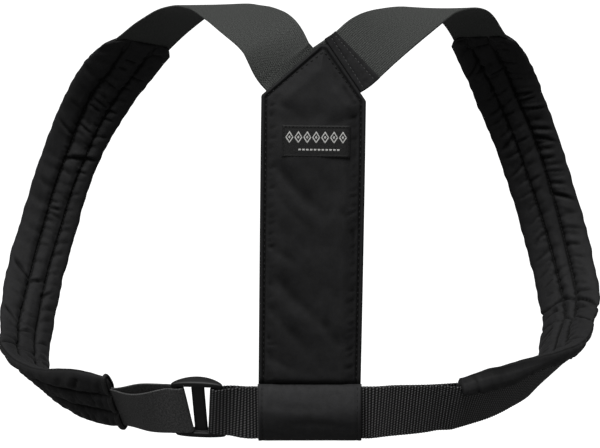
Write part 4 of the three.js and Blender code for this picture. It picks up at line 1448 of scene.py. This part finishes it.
def pad_slant(pad, lengths, section):
    """How far each point of the pad's rings lies ahead of its frame, near the pad's top."""
    fade = 1 - smooth(lengths - pad["top"], 0, SLANT_RUN)
    share = section[..., 0] / (PAD_TOP_WIDTH / 2)
    corner = np.maximum(np.abs(share) - CORNER_FROM, 0) / (1 - CORNER_FROM)
    brow = (CORNER_CUT * corner ** 1.3 - TOP_REACH) * (1 - smooth(lengths - pad["top"], 0, 34))[:, None]
    return pad["skew"] * fade[:, None] * section[..., 0] + brow


def slot_section(width, thickness):
    """Two rings of the sides of a slot for a strap, with as many points as a pad's section."""
    slot = strap_section(width + 2 * GAP, thickness + 2 * GAP, PAD_COLUMNS - 2 * EDGE_POINTS)
    return np.repeat(slot[None], 2, axis=0)


def make_pad(name, node_name, pad, end_slot=None):
    route = pad["route"]
    lengths = evenly(pad["top"], pad["end"], PAD_RING_STEP)
    section = pad_section(pad, lengths)
    slant = pad_slant(pad, lengths, section)
    # Painted shade: how deep each place lies in a fold or seam, which darkens the cloth's colour
    hollow = both_hollow_shades(section, PAD_COLUMNS, PAD_SHADE_REACH, SHADE_FULL_DEPTH)
    slot = slot_section(ELASTIC_WIDTH, ELASTIC_THICKNESS)
    slot_slant = np.stack([np.zeros(slot.shape[1]), pad_slant(pad, lengths[:1], slot[1:])[0]])
    shut = np.zeros(slot.shape[:2])
    frames = [route.frames([pad["top"] + POCKET_DEPTH + GAP, pad["top"]]), route.frames(lengths)]
    rings = [(slot, slot_slant, shut), (section, slant, hollow)]
    if end_slot:
        frames.append(route.frames([pad["end"], pad["end"] - POCKET_DEPTH - GAP]))
        rings.append((slot_section(*end_slot), shut, shut))
    section, slant, hollow = (np.concatenate(part) for part in zip(*rings))
    frames = join_frames(*frames)
    body, places = swept(name, node_name, frames, section, cloth, "padded_cloth", slant, hollow=hollow)
    places = places[2:2 + len(lengths)]
    rows = [seam_row(pad, places, lengths, which, face) for which in (0, 1) for face in ("outer", "inner")]
    stitch_rows(name + "_stitches", rows, thread_and_hole_shade, "padded_cloth")


def seam_row(pad, places, lengths, which, face):
    """The line along the bottom of a seam's groove, with the outward directions there."""
    half, _, middle = pad_size(pad, lengths)
    goals = (seam_across(pad, which, lengths) - middle) / half
    columns = np.arange(PAD_COLUMNS)
    if face == "inner":
        columns = places.shape[1] - 1 - columns
    line = np.vstack([picked([goal], pad_shares(), ring[columns]) for goal, ring in zip(goals, places)])
    facing = pad["route"].frames(lengths).facing * (1 if face == "outer" else -1)
    keep = slice(2, -2)
    return line[keep] + facing[keep] * 0.1, facing[keep]


def make_binding():
    """The tape round the left pad's back end, whose section follows the pad's."""
    pad = left_pad
    lengths = np.linspace(pad["end"] - BINDING_SHOWN, pad["end"] + GAP, BINDING_RINGS)
    held = np.full(len(lengths), pad["end"] - BINDING_WIDTH)
    inner = pad_section(pad, held, False, GAP)
    outer = pad_section(pad, held, False, GAP + BINDING_THICKNESS)
    outer = blend(inner, outer, (0.2 + 0.8 * round_share(from_ends(lengths), 1.4))[:, None, None])
    frames = pad["route"].frames(lengths)
    make_walled_tube(
        "pad_binding_tape", "pad_binding_left", frames, outer, inner, dark_tape, "woven_tape"
    )


# Belt

def turn_round_bar(frame, thickness):
    """Half an oval round a buckle's bar, from a strap's outer layer to its inner one."""
    reach = END_BAR_WIDTH / 2 + GAP + thickness / 2 + TURN_SLACK
    lift = END_BAR_THICKNESS / 2 + GAP + thickness / 2
    angle = (np.linspace(0, math.pi, TURN_STEPS + 1))[:, None]
    at = frame.at + frame.along * reach * np.sin(angle) + frame.facing * lift * np.cos(angle)
    along = frame.along * reach * np.cos(angle) - frame.facing * lift * np.sin(angle)
    facing = frame.along * np.sin(angle) / reach + frame.facing * np.cos(angle) / lift
    return Frames(at, along, facing, np.full(len(angle), frame.length[0]))


def doubled(route, outer, outer_lift, inner, inner_lift, thickness, step):
    """The frames of a strap that runs out along a route, round the bar and back inside itself."""
    out = route.frames(outer).shifted(outer_lift)
    turn = turn_round_bar(route.frames(route.total), thickness)
    back = route.frames(inner).shifted(-inner_lift).flipped()
    frames = join_frames(out, turn, back)
    run = run_of(frames.at)
    keep = np.concatenate([[True], np.diff(run) > 0.02])
    return frames.between(run, np.linspace(0, run[-1], round(run[-1] / step) + 1), keep)


def before_bar(route, frames):
    """How far each frame lies past the bar at the route's end, along it, and the bar's frame."""
    bar = route.frames(route.total)
    return ((frames.at - bar.at) * bar.along).sum(axis=1), bar


def bar_pull(route, frames, section, down):
    """How far a slack turn round a bar is drawn out past it, most at the strap's lower edge."""
    reach, bar = before_bar(route, frames)
    edge = 0.5 + 0.5 * down * section[..., 0] / np.abs(section[..., 0]).max()
    return (TURN_PULL * smooth(reach, -PULL_RUN, 4)[:, None] * edge)[..., None] * bar.along


def lift_to_bar(route, lengths, thickness, base, run):
    at_bar = END_BAR_THICKNESS / 2 + GAP + thickness / 2
    return blend(at_bar, base, smooth(route.total - lengths, 0, run))


def make_webbing():
    pair = (WEBBING_THICKNESS + LAYER_GAP) / 2
    end, total = right_pad["end"], right_route.total
    outer = evenly(right_pad["pressed"], total, 1.0)
    inner = evenly(end + 2 * GAP, total, 1.0)
    near, back = (
        lift_to_bar(right_route, lengths, WEBBING_THICKNESS, pair, CLOSING_RUN) for lengths in (outer, inner)
    )
    on_pad = PAD_END_THICKNESS / 2 + GAP + WEBBING_THICKNESS / 2
    lift = blend(on_pad, near, smooth(outer, end, end + STEPPING_RUN))
    step = RIB_PITCH / RINGS_PER_RIB
    frames = doubled(right_route, outer, lift, inner, back, WEBBING_THICKNESS, step)
    section = strap_rings(frames, WEBBING_WIDTH, WEBBING_THICKNESS, WEBBING_COLUMNS)
    rib = np.sin(frames.length * math.pi / RIB_PITCH)[:, None] ** 2
    for axis, depth, low, high in RIB_INSETS:
        part = section[..., axis]
        section[..., axis] = part - np.sign(part) * depth * rib * smooth(np.abs(part), low, high)
    pull = bar_pull(right_route, frames, section, -1) * WEBBING_PULL_SHARE
    swept("ribbed_belt", "belt_webbing", frames, section, webbing, "ribbed_webbing", push=pull)


def make_loop():
    rng = np.random.default_rng(71)
    pair = (LOOP_THICKNESS + LAYER_GAP) / 2
    end, total = left_pad["end"], left_route.total
    lengths = evenly(end - POCKET_DEPTH, total, 1.0)
    share = np.clip((lengths - end) / (total - end), 0, 1)
    lift = lift_to_bar(left_route, lengths, LOOP_THICKNESS, pair, total - end)
    lift = lift + (LOOP_OPENING / 2 - pair) * np.sin(math.pi * share) ** 2
    frames = doubled(left_route, lengths, lift, lengths, lift, LOOP_THICKNESS, 0.9)
    section = strap_rings(frames, LOOP_WIDTH, LOOP_THICKNESS, LOOP_COLUMNS)
    u = np.repeat(frames.length[:, None], section.shape[1], axis=1)
    ends = (frames.length, frames.length[-1] - frames.length)
    free = np.interp(ends[0], (14, 24), (0, 1)) * np.interp(ends[1], (14, 24), (0, 1))
    section[..., 1] += 0.25 * waves_of(rng, u, section[..., 0] * 0.5, 22) * free[:, None]
    near_bar = smooth(before_bar(left_route, frames)[0], -40, 0)
    section[..., 0] *= 1 + (LOOP_SPREAD / LOOP_WIDTH) * near_bar[:, None]
    pull = bar_pull(left_route, frames, section, 1)
    swept("loop_strap", "strap_loop_left", frames, section, tape, "woven_tape", push=pull)


# Slide buckle, made flat with its bars along Y and its outer face up, then set on the bars' frame.

def rounded_tube(across_axis, halves, centres, power):
    """A closed body of rounded rings. Each ring has a half width, a half height and a centre."""
    turn = np.linspace(0, 2 * math.pi, RAIL_POINTS, endpoint=False)
    c, s = np.cos(turn), np.sin(turn)
    ring = np.zeros((len(halves), RAIL_POINTS, 3))
    ring[..., across_axis] = np.outer(halves[:, 0], np.sign(c) * np.abs(c) ** (2 / power))
    ring[..., 2] = np.outer(halves[:, 1], np.sign(s) * np.abs(s) ** (2 / power))
    places = (ring + centres[:, None]).reshape(-1, 3)
    return places, outward(places, tube_faces(len(halves), RAIL_POINTS)), np.zeros_like(places)


def rail_body(side):
    half = BUCKLE_LENGTH / 2
    x = np.linspace(-half, half, RAIL_RINGS)
    depth = RAIL_THIN + (RAIL_THICK - RAIL_THIN) * (1 - (x / half) ** 2)
    height = RAIL_HEIGHT * (RAIL_END_SHARE + (1 - RAIL_END_SHARE) * np.sqrt(1 - (x / half) ** 2))
    y = side * (BAR_LENGTH + height) / 2
    halves = np.stack([height, depth], axis=1) * (0.25 + 0.25 * round_share(half - np.abs(x), 1.4))[:, None]
    return rounded_tube(1, halves, np.stack([x, y, (END_BAR_THICKNESS - depth) / 2], axis=1), 4.5)


def bar_body(x, z, width, thickness):
    reach = (BAR_LENGTH + RAIL_HEIGHT) / 2
    y = np.linspace(-reach, reach, BAR_POINTS)
    halves = np.repeat([[width / 2, thickness / 2]], len(y), axis=0)
    return rounded_tube(0, halves, np.stack([np.full_like(y, x), y, np.full_like(y, z)], axis=1), 2.6)


def make_buckle():
    bodies = [rail_body(side) for side in (1, -1)]
    for x in (-BAR_SPACING / 2, BAR_SPACING / 2):
        bodies.append(bar_body(x, 0, END_BAR_WIDTH, END_BAR_THICKNESS))
    deep = (END_BAR_THICKNESS - RAIL_THICK) / 2
    bodies.append(bar_body(0, deep, MIDDLE_BAR_WIDTH, MIDDLE_BAR_THICKNESS))
    buckle = make_piece("moulded_buckle", "slide_buckle", *joined(bodies), plastic, "buckle")
    with bpy.context.temp_override(object=buckle, active_object=buckle, selected_objects=[buckle]):
        fuse = buckle.modifiers.new("fuse", "REMESH")
        fuse.mode = "VOXEL"
        fuse.voxel_size = REMESH_SIZE * MM
        fuse.use_smooth_shade = True
        bpy.ops.object.modifier_apply(modifier="fuse")
        soften = buckle.modifiers.new("soften", "SMOOTH")
        soften.factor = 0.5
        soften.iterations = 4
        bpy.ops.object.modifier_apply(modifier="soften")
    mesh = buckle.data
    spots = np.empty(len(mesh.vertices) * 3)
    mesh.vertices.foreach_get("co", spots)
    centre = (right_bar.at + right_bar.along * BAR_SPACING / 2)[0]
    basis = np.stack([right_bar.along[0], -right_bar.across[0], right_bar.facing[0]])
    mesh.vertices.foreach_set("co", (spots.reshape(-1, 3) @ basis + centre * MM).ravel())
    mesh.update()


# The whole scene

panel_route = make_panel_route()
right_route = make_right_route()
right_bar = right_route.frames(right_route.total)
left_route = make_left_route()
sleeve_middle = right_route.length_at(len(START_RUN) + len(RIGHT_ROWS) + len(RIGHT_BELT_ROWS) + 2)
label_middle = panel_route.total * (1 - LABEL_DROP / PANEL_HEIGHT)
left_pad = make_pad_form(
    left_route, LEFT_PAD_TOP, LEFT_PAD_END, 0.0,
    width=LEFT_PAD_WIDTH, skew=LEFT_PAD_SKEW, offset=0.0, stand=LEFT_END_STAND, seams=LEFT_SEAMS,
    creases=LEFT_CREASES, folds=LEFT_FOLDS, flares=LEFT_FLARES, lanes=LEFT_LANES, seed=31,
)
right_pad = make_pad_form(
    right_route, RIGHT_PAD_TOP, RIGHT_PAD_END, WEBBING_ON_PAD,
    width=RIGHT_PAD_WIDTH, skew=RIGHT_PAD_SKEW, offset=PAD_OFFSET, stand=0.0, seams=RIGHT_SEAMS,
    creases=RIGHT_CREASES, folds=RIGHT_FOLDS, flares=RIGHT_FLARES, lanes=RIGHT_LANES, seed=47,
)

cloth = cloth_material("padded_cloth")
# A lighter copy of the cloth for the sleeve, partly its own tone and partly painted sheen
sleeve_cloth = cloth_material("sleeve_cloth", SLEEVE_TONE_AND_SHEEN)
elastic = elastic_material()
webbing = webbing_material()
tape = tape_material("woven_tape", 0.016, 0.076)
dark_tape = tape_material("binding_tape", 0.004, 0.012)
label_cloth = label_material()
plastic = plastic_material()
# Black thread, made darker than the cloth as painted shade for the needle holes and grooves that the
# stitches lie in
thread_and_hole_shade = thread_material("thread_and_hole_shade", 0.0006, 0.003)
grey_thread = thread_material("grey_thread", 0.04, 0.1)
pale_thread = thread_material("pale_thread", (0.3, 0.3, 0.29), (0.55, 0.55, 0.53))

make_camera()
make_light()
make_floor()
make_back_panel()
make_panel_stitches()
make_label()
make_motif()
make_label_stitches()
make_sleeve()
make_elastic("knit_strap_left", "elastic_strap_left", left_route, left_pad["top"], 61)
make_elastic("knit_strap_right", "elastic_strap_right", right_route, right_pad["top"], 62)
make_tab()
make_pad("quilted_pad_left", "shoulder_pad_left", left_pad, (LOOP_WIDTH, 2 * LOOP_THICKNESS + LAYER_GAP))
make_pad("quilted_pad_right", "shoulder_pad_right", right_pad)
make_binding()
make_webbing()
make_loop()
make_buckle()
